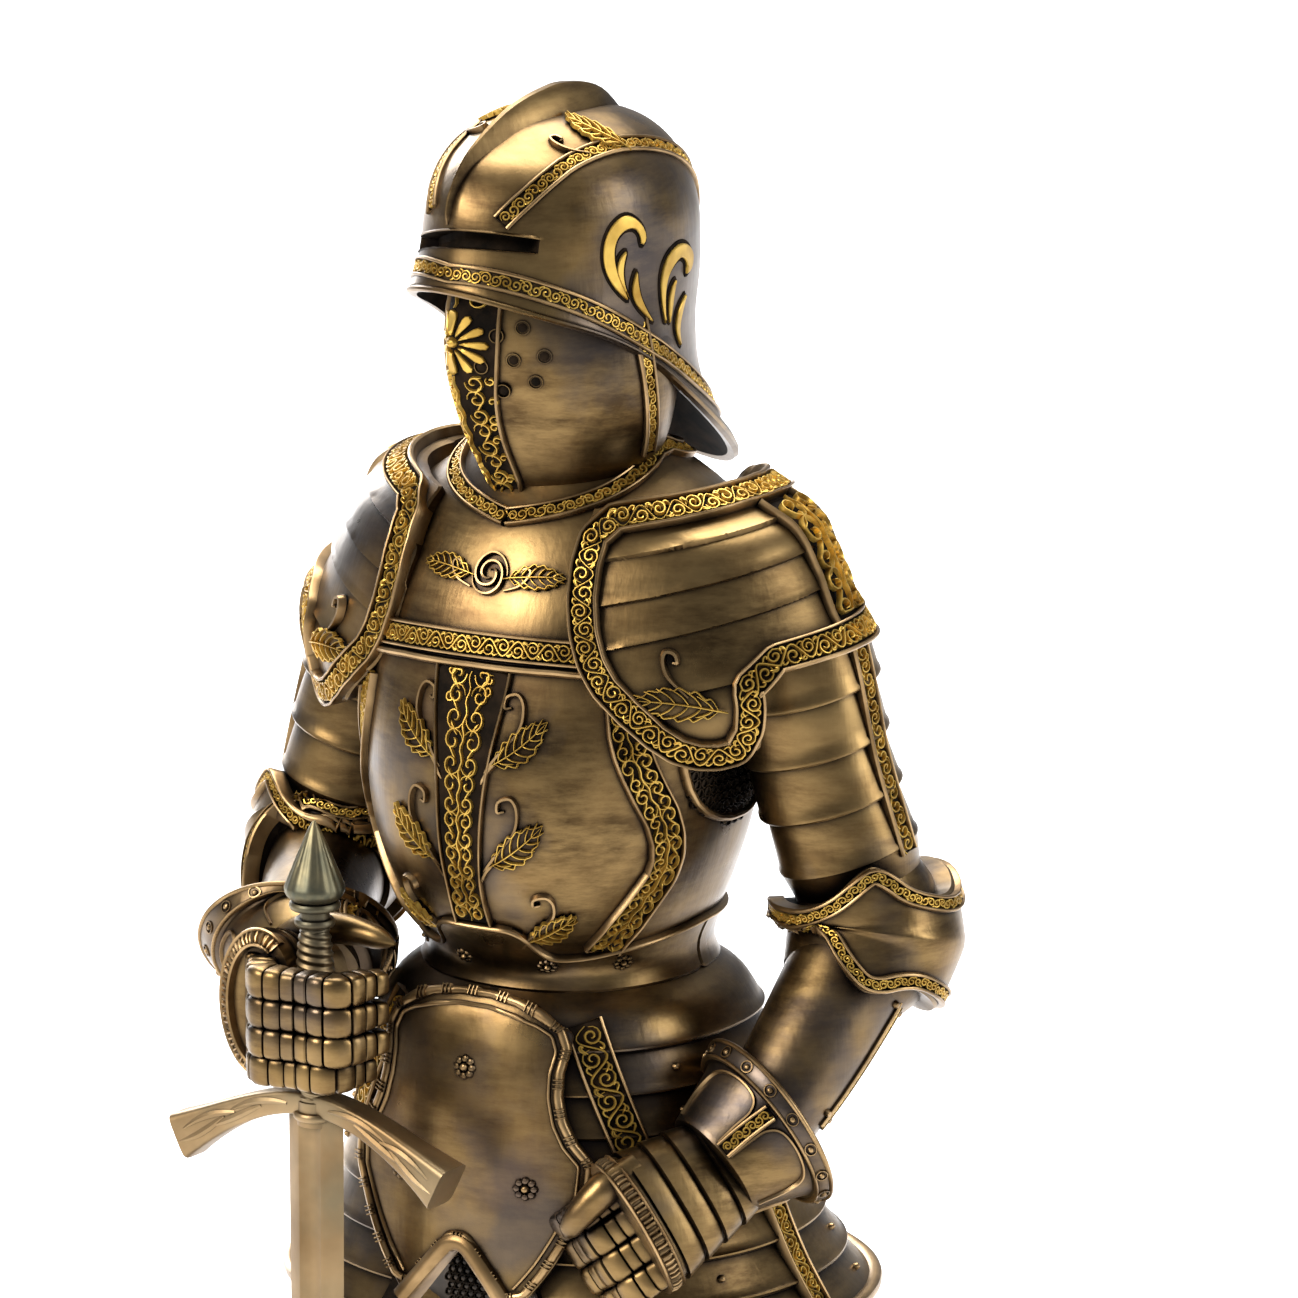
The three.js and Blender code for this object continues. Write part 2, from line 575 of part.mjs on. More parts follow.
// The lames' edges, from the neck down: where each starts in front, where it ends behind, and its line
const LAME_EDGES = [
  [16.4, 163, (degrees) => 2.6 - Math.sin(radians(degrees))],
  [11.2, 169, (degrees) => 8.2 - 1.6 * Math.sin(radians(degrees))],
  [10.8, 170, (degrees) => 13.2 - 1.2 * Math.sin(radians(degrees))],
  [12.8, 169, (degrees) => 18.8 - Math.sin(radians(degrees))],
  [17.4, 165, () => 26.6],
];
// The wings in front of and behind the arm: rows of [from, to, place]
const FRONT_WING = [[12.6, 55, 18], [16.4, 55.4, 24.4], [20, 56, 28], [25.4, 57, 32], [33.4, 57.6, 35.6], [41, 57.8, 38]];
const REAR_WING = [[169, 124, 18], [165, 124, 24.4], [162, 124.4, 28], [157, 125, 32], [149, 126, 35.6], [140, 127, 37.6]];

function pauldron(surface, hand) {
  const side = (line) => (hand > 0 ? line : otherSide(line));
  const rows = LAME_EDGES.slice(0, -1).flatMap(([from, to, line], k) => {
    const [nextFrom, nextTo, nextLine] = LAME_EDGES[k + 1];
    const row = (first, last, edge, gap, raise) => steps(first, last, 9).map((d) => [hand * d, edge(d) + gap, raise]);
    return [row(from, to, line, 0.1, 0.1 + 0.3 * k), row(nextFrom, nextTo, nextLine, -0.1, 0.9 + 0.3 * k)];
  });
  const wing = (list) => list.map(([from, to, along]) => steps(from, to, 3).map((d) => [hand * d, along, 1.3]));
  const line = inset(surface, side(PAULDRON), 1.4);
  return [
    sheet(surface, rows, -5),
    sheet(surface, wing(FRONT_WING), -2.6),
    sheet(surface, wing(REAR_WING), -2.6),
    band(surface, [...line, line[0]], 3.4, -1, 2.4),
    leaf(surface, [hand * 46, 32], hand * -68, 13, 5.6, -1),
  ];
}
// The skirt of lames, open in front over the mail, with the front plate hung on it
const SKIRT_TOP = 198;
const SKIRT_HEM = 145;
const SKIRT_LAMES = 8;
const FRONT_PLATE = [
  [0, 199.4], [18, 198], [30, 194.5], [25.4, 187], [27, 180], [35, 173.4], [21, 159], [11, 150.4],
  [5.6, 157], [0, 162.5],
];
const ARCH = [[11, 150.4], [5.6, 157], [0, 162.5]];

function skirtPieces() {
  const lames = [[202, -2]];
  const height = (SKIRT_TOP - SKIRT_HEM) / SKIRT_LAMES;
  for (let k = 0; k < SKIRT_LAMES; k += 1) {
    const top = SKIRT_TOP - k * height;
    lames.push([top, -0.4], [top - 0.94 * height, 0.9]);
  }
  const whole = loft(skirt, lames, 24);
  const under = loft(skirt, [[138, -2.6], [150, -3], [157, -4.5]], 14);
  const opening = plate(skirt, mirrored([[0, 163], [8, 160], [15, 154], [19, 147], [20, 138], [0, 138]]), -14, 6, 14);
  const mail = loft(skirt, [[196, -6], [170, -7], [156, -11], [146, -18]], 12);
  const hem = band(skirt, steps(26, 334, 18).map((degrees) => [degrees, SKIRT_HEM + 0.6]), 2.6, -1, 2.2);
  const plateBody = plate(skirt, mirrored(FRONT_PLATE), -2, 3.4, 14);
  const edge = inset(skirt, mirrored(FRONT_PLATE), 0.6);
  const pieces = [plateBody, band(skirt, [...edge, edge[0]], 1.8, 1, 4.4), hem];
  pieces.push(band(skirt, [...otherSide(ARCH), ...ARCH.slice().reverse().slice(1)].reverse(), 3, 1, 5.2));
  for (const [degrees, height_] of [[0, 188.5], [15.5, 171], [-15.5, 171]]) {
    pieces.push(rosette((a, d, r = 0) => skirt(a, d, r + 3.4), [degrees, height_], 2));
  }
  for (const hand of [1, -1]) {
    pieces.push(band(skirt, [[hand * 33, 196], [hand * 40, 184], [hand * 46, 173]], 5, -0.5, 1.5));
    pieces.push(band(skirt, [[hand * 84, 176], [hand * 87, 162], [hand * 88, 148]], 4.6, -0.5, 1.5));
  }
  return [whole.subtract(opening).subtract(under), mail, ...pieces];
}

// The arms
const leftElbow = limb([
  [0, [45, 7.8, 222], [11.4, 11.8, 11.4]],
  [8, [46.6, 9.2, 214], [13, 13.2, 13]],
  [15, [47.4, 9.4, 207.5], [14, 13.6, 14]],
  [22, [46.6, 5.4, 201.6], [13.4, 12.8, 13.4]],
  [30, [44.8, -0.6, 196.4], [11.8, 11, 12]],
]);
const rightElbow = limb([
  [0, [-43.6, 4.4, 222], [11.6, 12, 11.6]],
  [8, [-45.2, 4, 214], [12.8, 13, 12.8]],
  [15, [-45.6, 2.4, 209.4], [13.4, 13, 13.4]],
  [22, [-43, -3.4, 207.2], [13, 12.4, 13.2]],
  [30, [-40, -9.4, 205.4], [11.8, 11, 12]],
]);
// The elbow plate's edges: wavy, wide outside and narrow at the bend
const COUTER_TOP = [
  [-70, 5.5], [-30, 7.6], [2, 5.6], [36, 1.2], [50, 1.4], [68, 7.6], [98, 10], [150, 7], [200, 9],
];
const COUTER_FOOT = [
  [200, 19], [150, 21], [84, 21.4], [62, 22.6], [42, 28], [19, 27], [0, 24], [-16, 15.6], [-34, 13], [-70, 18],
];

function armPieces(hand) {
  const side = (line) => (hand > 0 ? line : otherSide(line));
  const upper = hand > 0 ? leftUpperArm : rightUpperArm;
  const fore = hand > 0 ? leftForearm : rightForearm;
  const elbow = hand > 0 ? leftElbow : rightElbow;
  const couter = side([...COUTER_TOP, ...COUTER_FOOT]);
  const edge = inset(elbow, couter, 1);
  return [
    loft(upper, [[-2, -5], ...lameRows(0, 44, 5, 1, -0.4), [50, -0.6]], 12),
    loft(fore, [[-3, -2], [6, 0], [24, 0], [42, 0]], 12),
    loft(elbow, [[4, -3], [10, -1.6], [15, -1], [21, -1.6], [27, -3]], 10),
    plate(elbow, couter, -3, 1.4, 12),
    band(elbow, [...edge, edge[0]], 2.6, -0.5, 2.3),
    band(upper, [4, 14, 24, 34, 44].map((at) => [hand * 78, at]), 4, -0.6, 1.3),
    band(fore, [12, 22, 32].map((at) => [hand * 100, at]), 2, -0.6, 0.6),
  ];
}

// A gauntlet: a bell cuff that opens towards the elbow
function cuffPieces({ from, to, roundness, down }) {
  const bell = limb([
    [0, from, [9.6, 9.6, 9.6].map((reach) => reach * roundness)],
    [6, times(add(times(from, 0.6), times(to, 0.4)), 1), [11.4, 11.2, 11.4].map((reach) => reach * roundness)],
    [15, to, [14.6, 14.2, 14.6].map((reach) => reach * roundness), { down }],
  ]);
  return [
    loft(bell, [[0, -0.6], [6, 0], [12, 0.2], [12.4, 1], [15, 1.3], [15, -1.2], [9, -1.4]], 14),
  ];
}

// A closed hand: `reach` points from wrist to knuckles, `facing` out of its back, `rise` to the thumb
function handPieces({ wrist, reach, facing, rise, palm, bends, lengths }) {
  const pieces = [];
  const spot = (ahead, up, out) => add(wrist, add(times(reach, ahead), add(times(rise, up), times(facing, out))));
  const row = (ahead, high, deep, out) => Array.from({ length: 10 }, (_, k) => {
    const angle = (Math.PI * 2 * k) / 10;
    const round = (value) => Math.sign(value) * Math.abs(value) ** 0.8;
    return times(spot(ahead, high * round(Math.cos(angle)), out + deep * round(Math.sin(angle))), SHARE);
  });
  const rows = [row(-3, 7.4, 6, -0.5)];
  for (let k = 0; k < 4; k += 1) {
    const ahead = -1 + (k * palm) / 4;
    rows.push(row(ahead, 8 + k * 0.7, 5.4, 0), row(ahead + (0.92 * palm) / 4, 9.3 + k * 0.7, 6.2, 0));
  }
  rows.push(row(palm, 11.4, 6.9, 0), row(palm + 2.6, 11.4, 6.6, -0.3), row(palm + 2.8, 9.6, 4.4, -0.6));
  pieces.push(ringSolid(rows));
  for (let finger = 0; finger < 4; finger += 1) {
    const up = 6 - finger * 4.75;
    let at = spot(palm + 1, up, 1);
    const line = [[at, 2.6]];
    bends.forEach((bend, joint) => {
      const way = add(times(reach, Math.cos(radians(bend))), times(facing, -Math.sin(radians(bend))));
      const half = add(at, times(way, (lengths[joint] * (finger === 3 ? 0.9 : 1)) / 2));
      at = add(half, less(half, at));
      line.push([half, 2.45], [at, joint === bends.length - 1 ? 1.7 : 2.85]);
    });
    pieces.push(bar(line, 6));
  }
  return pieces;
}

// The legs: thigh, knee, shin and a pointed shoe
function legPieces(hand) {
  const thigh = limb([
    [0, [hand * 16, 0, 166], [14.5, 15, 15]],
    [20, [hand * 17.5, -1.5, 146], [14, 14.6, 14.6]],
    [45, [hand * 20, -4, 121], [12.6, 13, 13]],
    [68, [hand * 22.4, -6, 98], [10.6, 11, 10.8]],
  ]);
  const knee = limb([
    [0, [hand * 22.4, -6, 100], [10.6, 11.4, 10.6]],
    [12, [hand * 23, -6.6, 88], [12, 13, 11.4], { keel: 1.4 }],
    [24, [hand * 23.4, -5.6, 76], [10.6, 11.2, 10.8]],
  ]);
  const shin = limb([
    [0, [hand * 23.2, -5, 80], [10.4, 10.6, 10.6]],
    [18, [hand * 24.2, -2, 62], [11, 10.8, 12.2], { keel: 0.8 }],
    [42, [hand * 26, 1.6, 38], [8.6, 8.8, 9], { keel: 0.8 }],
    [64, [hand * 27.4, 3, 16], [7.8, 8.2, 8.2]],
    [72, [hand * 27.8, 3, 8], [8.2, 9, 8.6]],
  ]);
  const wing = [[60, 4], [78, 2.5], [100, 6], [118, 12], [100, 18], [78, 21.5], [60, 20]];
  return [
    loft(thigh, [[0, 0], ...lameRows(18, 34, 2, 0.7), [36, 0], [64, 0], [64.4, 0.8], [68, 0.6]], 12),
    loft(knee, [[0, 0.6], [4, 0.9], [4.3, 0], [12, 0], [19.7, 0], [20, 0.9], [24, 0.6]], 12),
    plate(knee, hand > 0 ? wing : otherSide(wing), -3, 1.6, 8),
    loft(shin, [[0, 1], [4, 1], [4.5, 0], [18, 0], [42, 0], [62, 0], [62.5, 0.9], [72, 0]], 12),
    ...shoePieces(hand),
  ];
}

function shoePieces(hand) {
  const turn = radians(hand * 17);
  const forward = [Math.sin(turn), -Math.cos(turn), 0];
  const side = [Math.cos(turn), Math.sin(turn), 0];
  const heel = [hand * 26.6, 12, 0];
  const row = ([ahead, wide, tall]) => Array.from({ length: 9 }, (_, k) => {
    const angle = (Math.PI * k) / 8;
    const up = tall * Math.max(0, Math.sin(angle)) ** 0.85;
    const across = wide * Math.cos(angle);
    return times(add(heel, add(times(forward, ahead), add(times(side, across), [0, 0, up]))), SHARE);
  });
  const rows = [[0, 5.4, 12], [2, 7.6, 15], [12, 8.2, 17]];
  for (let k = 0; k < 5; k += 1) {
    const ahead = 16 + k * 6.6;
    const u = k / 5;
    rows.push([ahead, 9.4 - 4.6 * u ** 2.2, 15.4 - 9 * u], [ahead + 6.2, 9.8 - 5 * (u + 0.15) ** 2.2, 14 - 9 * u]);
  }
  rows.push([54, 1, 2.4]);
  return [ringSolid(rows.map(row))];
}

// The sword, upright with its point on the plinth
const SWORD_PLACE = [-20, -46];
const GUARD_HEIGHT = 183.5;
const POMMEL_FOOT = 215.5;
const GUARD_TURN = -5;

function swordPieces(extra) {
  const [x, y] = SWORD_PLACE;
  const turned = (across, deep, height) => {
    const turn = radians(GUARD_TURN);
    return [
      x * SHARE + across * Math.cos(turn) - deep * Math.sin(turn),
      y * SHARE + across * Math.sin(turn) + deep * Math.cos(turn),
      height * SHARE,
    ];
  };
  const round = (height, radius) => Array.from({ length: 10 }, (_, k) => {
    const angle = (Math.PI * 2 * k) / 10;
    return turned((radius + extra) * Math.cos(angle), (radius + extra) * Math.sin(angle), height);
  });
  const grip = [[180, 1.05], [188, 1], [192, 1.12], [201, 1.2], [209, 1.05], [212.5, 0.86], [217, 0.8]];
  const pommelTop = POMMEL_FOOT + POMMEL_LENGTH / SHARE;
  const pommel = [[0, 0.72], [0.12, 1], [0.34, 0.9], [0.62, 0.6], [0.86, 0.3], [1, 0.1]];
  const half = BLADE_WIDTH / 2 + extra;
  const thick = BLADE_THICKNESS / 2 + extra;
  const blade = [[183, 1, 1], [181, 1, 1], [90, 0.9, 0.95], [20, 0.8, 0.85], [0, 0.12, 0.3]];
  const guard = steps(-1, 1, 12).map((u) => {
    const flare = Math.abs(u) ** 3;
    const reach = (u * GUARD_LENGTH) / 2;
    const height = GUARD_HEIGHT - 7 * u * u - 1.2 * (1 - Math.cos(u * 3));
    const tall = 1.9 + 1.5 * flare + extra;
    const deep = 2.3 + 1.1 * flare + extra;
    const lean = u * 0.5;
    return [[1, 1], [1, -1], [-1, -1], [-1, 1]].map(([up, out]) => (
      turned(reach + lean * tall * up, deep * out, height + (tall * up) / SHARE)
    ));
  });
  return [
    ringSolid(grip.map(([height, share]) => round(height, GRIP_RADIUS * share))),
    ringSolid(pommel.map(([u, share]) => round(POMMEL_FOOT + (pommelTop - POMMEL_FOOT) * u, POMMEL_RADIUS * share))),
    ringSolid(blade.map(([height, wide, deep]) => [
      [1, 0], [0.42, 1], [-0.42, 1], [-1, 0], [-0.42, -1], [0.42, -1],
    ].map(([across, out]) => turned(across * half * wide, out * thick * deep, height)))),
    ringSolid(guard),
  ];
}

// The plinth: a low round base with a moulded edge
function plinthSolid() {
  const profile = [
    [0, 0], [1, 0], [1, 0.22], [0.985, 0.3], [0.95, 0.36], [0.93, 0.5], [0.915, 0.7],
    [0.94, 0.78], [0.945, 0.88], [0.925, 1], [0, 1],
  ].map(([reach, height]) => new THREE.Vector2(reach * PLINTH_RADIUS, height * PLINTH_HEIGHT));
  const turned = new THREE.LatheGeometry(profile, 36);
  turned.rotateX(Math.PI / 2);
  return turned;
}

// The figure is one casting
const join = (solids) => wasm.Manifold.union(solids);

const rightHand = {
  wrist: [-27.5, -37, 199], reach: unit([-0.1, -1, -0.02]), facing: unit([-1, 0.1, 0]), rise: [0, 0, 1],
  palm: 9, bends: [42, 98, 160], lengths: [9, 12.5, 9],
};
const leftHand = {
  wrist: [39, -20, 175.5], reach: unit([-0.5, -0.72, -0.44]), facing: unit([0.62, -0.68, 0.4]),
  rise: unit([-0.55, -0.08, 0.83]), palm: 16, bends: [35, 75, 120], lengths: [7, 7, 5],
};

const rightCuff = { from: [-29, -33, 199], to: [-38, -21, 201], roundness: 1.04, down: unit([-0.3, 0.7, 0.6]) };
const leftCuff = { from: [37, -21.5, 175], to: [42.6, -12, 181.5], roundness: 0.95, down: unit([0.46, 0.76, 0.46]) };

const thumbs = [
  bar([[[-30, -36, 205.5], 3.4], [[-25, -38.5, 209], 2.8], [[-17, -40.2, 210.4], 2.4], [[-8.5, -41, 209.6], 1.5]], 6),
  bar([[[33, -29, 181], 3.2], [[26, -36, 176], 3], [[20, -39, 170], 2.4], [[17, -39.5, 166], 1.6]], 6),
];

const figure = join([
  ...torsoPieces(),
  ...helmet(),
  ...pauldron(leftPauldron, 1),
  ...pauldron(rightPauldron, -1),
  ...skirtPieces(),
  ...armPieces(1),
  ...armPieces(-1),
  ...cuffPieces(rightCuff),
  ...cuffPieces(leftCuff),
  ...handPieces(rightHand),
  ...handPieces(leftHand),
  ...thumbs,
  ...legPieces(1),
  ...legPieces(-1),
]).subtract(join(swordPieces(SWORD_CLEARANCE)));

function named(name, geometry, colour, roughness) {
  const material = new THREE.MeshStandardMaterial({ color: colour, roughness, metalness: 0.85 });
  const mesh = new THREE.Mesh(geometry, material);
  mesh.name = name;
  return mesh;
}

// The fist's bore keeps all its points, so that the sword stays clear of it
const inBore = ([x, y]) => {
  const across = x / SHARE - SWORD_PLACE[0];
  const deep = (y - FIGURE_SETBACK) / SHARE - SWORD_PLACE[1];
  return Math.hypot(across, deep) < BORE_REACH;
};

// Drops the points that a closed mesh can lose without moving its faces by more than `slack`,
// and parts those that fall together
function thin(points, faces, slack) {
  const around = points.map(() => new Set());
  faces.forEach((face, index) => face.forEach((corner) => around[corner].add(index)));
  const normalOf = ([a, b, c]) => cross(less(points[b], points[a]), less(points[c], points[a]));
  const neighbours = (corner) => new Set([...around[corner]].flatMap((index) => faces[index]));
  const canMove = (from, to, near) => {
    const shared = [...neighbours(to)].filter((corner) => near.has(corner) && corner !== from && corner !== to);
    if (shared.length !== 2) return false;
    return [...around[from]].every((index) => {
      const face = faces[index];
      const normal = normalOf(face);
      const area = size(normal);
      if (area > 1e-9 && Math.abs(dot(normal, less(points[to], points[from]))) / area > slack) return false;
      if (face.includes(to)) return true;
      const moved = normalOf(face.map((corner) => (corner === from ? to : corner)));
      const movedArea = size(moved);
      if (movedArea < 1e-5) return false;
      return area < 1e-5 || dot(normal, moved) > 0.6 * area * movedArea;
    });
  };
  for (let pass = 0, dropped = 1; dropped > 0 && pass < 8; pass += 1) {
    dropped = 0;
    for (let from = 0; from < points.length; from += 1) {
      if (around[from].size === 0 || inBore(points[from])) continue;
      const near = neighbours(from);
      const reach = (corner) => size(less(points[corner], points[from]));
      const choices = [...near].filter((corner) => corner !== from).sort((p, q) => reach(p) - reach(q));
      const to = choices.find((corner) => canMove(from, corner, near));
      if (to === undefined) continue;
      for (const index of around[from]) {
        const face = faces[index];
        if (face.includes(to)) {
          face.forEach((corner) => corner !== from && around[corner].delete(index));
          faces[index] = null;
        } else {
          face[face.indexOf(from)] = to;
          around[to].add(index);
        }
      }
      around[from] = new Set();
      dropped += 1;
    }
  }
  const taken = new Set();
  const cell = (corner) => points[corner].map((value) => Math.round(value * 250)).join(' ');
  points.forEach((point, corner) => {
    if (around[corner].size === 0) return;
    const centre = middle([...neighbours(corner)].map((near) => points[near]));
    if (taken.has(cell(corner))) points[corner] = add(times(point, 0.95), times(centre, 0.05));
    taken.add(cell(corner));
  });
  return faces.filter(Boolean);
}

// The outer skin alone: what is sealed inside the casting is solid metal
const skinOf = (body) => body.decompose().sort((p, q) => q.volume() - p.volume())[0];

function geometryOf(body) {
  const mesh = skinOf(body).getMesh();
  const flat = Array.from(mesh.vertProperties);
  const points = Array.from({ length: flat.length / 3 }, (_, k) => flat.slice(3 * k, 3 * k + 3));
  const corners = Array.from(mesh.triVerts);
  const faces = Array.from({ length: corners.length / 3 }, (_, k) => corners.slice(3 * k, 3 * k + 3));
  const kept = thin(points, faces, SURFACE_SLACK);
  const loose = new THREE.BufferGeometry();
  const places = kept.flatMap((face) => face.flatMap((corner) => points[corner]));
  loose.setAttribute('position', new THREE.Float32BufferAttribute(places, 3));
  const merged = mergeVertices(loose, 1e-3);
  const thinned = skinOf(new wasm.Manifold(new wasm.Mesh({
    numProp: 3,
    vertProperties: merged.attributes.position.array,
    triVerts: Uint32Array.from(merged.index.array),
  }))).getMesh();
  const geometry = new THREE.BufferGeometry();
  geometry.setAttribute('position', new THREE.BufferAttribute(Float32Array.from(thinned.vertProperties), 3));
  geometry.setIndex(new THREE.BufferAttribute(Uint32Array.from(thinned.triVerts), 1));
  geometry.computeVertexNormals();
  return geometry;
}

const statue = new THREE.Group();
statue.add(named('plinth', plinthSolid(), 0x2a2420, 0.5));
statue.add(named('knight_figure', geometryOf(figure), 0x8a6a3c, 0.38));
statue.add(named('sword', geometryOf(join(swordPieces(0))), 0x8f7a52, 0.5));

export default statue;
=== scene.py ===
import math
import random

import bmesh
import bpy
import numpy as np
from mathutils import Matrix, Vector
from mathutils.geometry import delaunay_2d_cdt


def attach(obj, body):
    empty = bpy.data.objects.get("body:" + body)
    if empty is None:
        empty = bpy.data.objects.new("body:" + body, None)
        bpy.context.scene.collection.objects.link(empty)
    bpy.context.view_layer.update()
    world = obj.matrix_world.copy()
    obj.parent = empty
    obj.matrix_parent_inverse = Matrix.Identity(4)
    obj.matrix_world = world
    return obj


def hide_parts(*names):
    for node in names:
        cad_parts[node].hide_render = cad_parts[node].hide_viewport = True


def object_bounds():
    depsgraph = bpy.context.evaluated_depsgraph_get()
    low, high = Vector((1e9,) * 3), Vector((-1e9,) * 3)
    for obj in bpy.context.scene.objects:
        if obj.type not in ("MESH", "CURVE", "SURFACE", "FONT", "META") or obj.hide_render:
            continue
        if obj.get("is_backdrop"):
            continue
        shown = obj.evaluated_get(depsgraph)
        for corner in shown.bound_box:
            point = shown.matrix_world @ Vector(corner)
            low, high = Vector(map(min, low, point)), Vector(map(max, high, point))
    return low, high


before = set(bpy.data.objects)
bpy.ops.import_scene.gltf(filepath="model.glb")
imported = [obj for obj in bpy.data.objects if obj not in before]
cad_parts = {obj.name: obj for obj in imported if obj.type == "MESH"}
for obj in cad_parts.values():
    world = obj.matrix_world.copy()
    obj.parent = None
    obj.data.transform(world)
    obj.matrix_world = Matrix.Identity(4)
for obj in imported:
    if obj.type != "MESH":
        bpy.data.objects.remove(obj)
cad_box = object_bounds()

# All shapes are written in millimetres, with the soles at height 0 and the knight facing -Y
MM = 0.001
FIGURE_SETBACK = 6.0
PLINTH_HEIGHT = 24.0
PLINTH_RADIUS = 66.0

# Finishes, by their place in the list of materials below
PLATE, BRASS, GILT, GROUND_AND_PAINTED_SHADE, MAIL, SWORD, STONE = range(7)


def unit(vector):
    vector = np.asarray(vector, float)
    return vector / np.linalg.norm(vector)


def units(vectors):
    return vectors / np.maximum(np.linalg.norm(vectors, axis=-1, keepdims=True), 1e-12)


def dots(a, b):
    return np.sum(a * b, axis=-1, keepdims=True)


# Keeps the moves along a form short where its sections crowd together inside a bend
TIGHT_BEND = 0.03
# The height of a triangle of a plate's surface as a share of its side
ROW_SHARE = 0.87
# A keel's width as a share of its section's, and the share of a form's length that slopes are read over
KEEL_WIDTH = 0.8
NUDGE = 1 / 400


# A line on a form is walked in steps of about this many millimetres
TRACK_STEP = 0.6


def walk(points):
    """The distance walked along a line at each of its points"""
    return np.concatenate([[0], np.cumsum(np.linalg.norm(np.diff(points, axis=0), axis=1))])


def squared(waves, power):
    """A sine or cosine made squarer or sharper by a power"""
    return np.sign(waves) * np.abs(waves) ** power


def circle(count, wide=1.0, tall=1.0):
    """A flat closed round line"""
    turn = np.linspace(0, 2 * math.pi, count)
    return np.stack([np.cos(turn) * wide, np.sin(turn) * tall], axis=1)


def round_turn(count):
    """The angles of points round a ring, without the first again"""
    return np.arange(count) * 2 * math.pi / count


# A form is a row of oval sections. A spot on it is [degrees, place]: 0 degrees is the front and 90 is
# the knight's left, and the place runs along the row.
def section(at, centre, reach, side=(1, 0, 0), back=(0, 1, 0), power=2.0, keel=0.0, taper=0.0):
    return [at, *centre, *side, *back, *reach, power, keel, taper]


class Form:
    def __init__(self, rows):
        self.rows = np.array(rows, float)
        self.nudge = abs(self.rows[-1, 0] - self.rows[0, 0]) * NUDGE

    def values(self, at):
        rows = self.rows
        last = len(rows) - 1
        low = np.clip(np.searchsorted(rows[:, 0], at, side="left") - 1, 0, last - 1)
        before, here = rows[np.maximum(low - 1, 0)], rows[low]
        there, after = rows[low + 1], rows[np.minimum(low + 2, last)]
        span = (there[:, 0] - here[:, 0])[:, None]
        u = (at - here[:, 0])[:, None] / span
        slope_low = (there - before) / (there[:, 0] - before[:, 0])[:, None]
        slope_high = (after - here) / (after[:, 0] - here[:, 0])[:, None]
        rise = there - here
        bend = (slope_low * span - rise) * (1 - u) + (rise - slope_high * span) * u
        inside = here + rise * u + u * (1 - u) * bend
        below = here + slope_low * u * span
        above = there + slope_high * (u - 1) * span
        return np.where(u < 0, below, np.where(u > 1, above, inside))

    @staticmethod
    def oval(values, degrees):
        centre, side, back = values[:, 1:4], values[:, 4:7], values[:, 7:10]
        wide, front, rear, power, keel, taper = values[:, 10:].T
        sine, cosine = np.sin(np.radians(degrees)), np.cos(np.radians(degrees))
        across = wide * squared(sine, 2 / power) * (1 - taper * np.maximum(0, -cosine))
        near = np.maximum(0, 1 - np.abs(across) / (KEEL_WIDTH * wide)) ** 2
        ridge = np.where(cosine > 0, keel * near, 0)
        ahead = np.where(cosine > 0, front, rear) * squared(cosine, 2 / power) + ridge
        return centre + side * across[:, None] - back * ahead[:, None]

    def frame(self, degrees, at):
        """Points on the form and the directions out of it"""
        degrees, at = np.broadcast_arrays(np.asarray(degrees, float), np.asarray(at, float))
        shape = degrees.shape
        degrees, at = degrees.ravel(), at.ravel()
        values = self.values(at)
        points = self.oval(values, degrees)
        around = self.oval(values, degrees + 1) - self.oval(values, degrees - 1)
        higher = self.oval(self.values(at + self.nudge), degrees)
        lower = self.oval(self.values(at - self.nudge), degrees)
        normals = units(np.cross(around, higher - lower))
        inward = dots(normals, points - values[:, 1:4]) < 0
        normals = np.where(inward, -normals, normals)
        return points.reshape(*shape, 3), normals.reshape(*shape, 3)

    def points(self, degrees, at, lift):
        points, normals = self.frame(degrees, at)
        return points + normals * np.asarray(lift, float)[..., None]

    def lifted(self, spots, lift):
        return self.points(spots[..., 0], spots[..., 1], lift)

    def slopes(self, spots):
        """How the form's points move per degree and per unit of place"""
        degrees, at = spots[:, 0], spots[:, 1]
        step = 2 * self.nudge
        here = self.oval(self.values(at), degrees)
        by_degree = self.oval(self.values(at), degrees + 1) - here
        by_place = (self.oval(self.values(at + step), degrees) - here) / step
        return by_degree, by_place

    def scale(self, spots):
        """Millimetres per degree and per unit of place, on average over some spots"""
        return np.array([np.linalg.norm(slope, axis=1).mean() for slope in self.slopes(spots)])

    def moves(self, spots, directions):
        """The change of spot for one millimetre in each direction along the form"""
        by_degree, by_place = self.slopes(spots)
        a, b = dots(by_degree, by_degree), dots(by_degree, by_place)
        c = dots(by_place, by_place) + TIGHT_BEND
        p, q = dots(directions, by_degree), dots(directions, by_place)
        det = np.maximum(a * c - b * b, 1e-6)
        return np.hstack([(p * c - q * b) / det, (q * a - p * b) / det])

    def place(self, spot, heading=0.0, upward=1.0):
        """A drawing board at a spot: turns [right, up] in millimetres into spots"""
        spot = np.array([spot], float)
        by_degree, by_place = self.slopes(spot)
        right = units(by_degree)
        up = units(by_place - right * dots(by_place, right)) * upward
        right_move = self.moves(spot, right)[0]
        up_move = self.moves(spot, up)[0]
        turn = math.radians(heading)
        cosine, sine = math.cos(turn), math.sin(turn)

        def board(points):
            points = np.asarray(points, float)
            x, y = points[..., 0], points[..., 1]
            across = x * cosine + y * sine
            along = y * cosine - x * sine
            return spot[0] + across[..., None] * right_move + along[..., None] * up_move

        return board


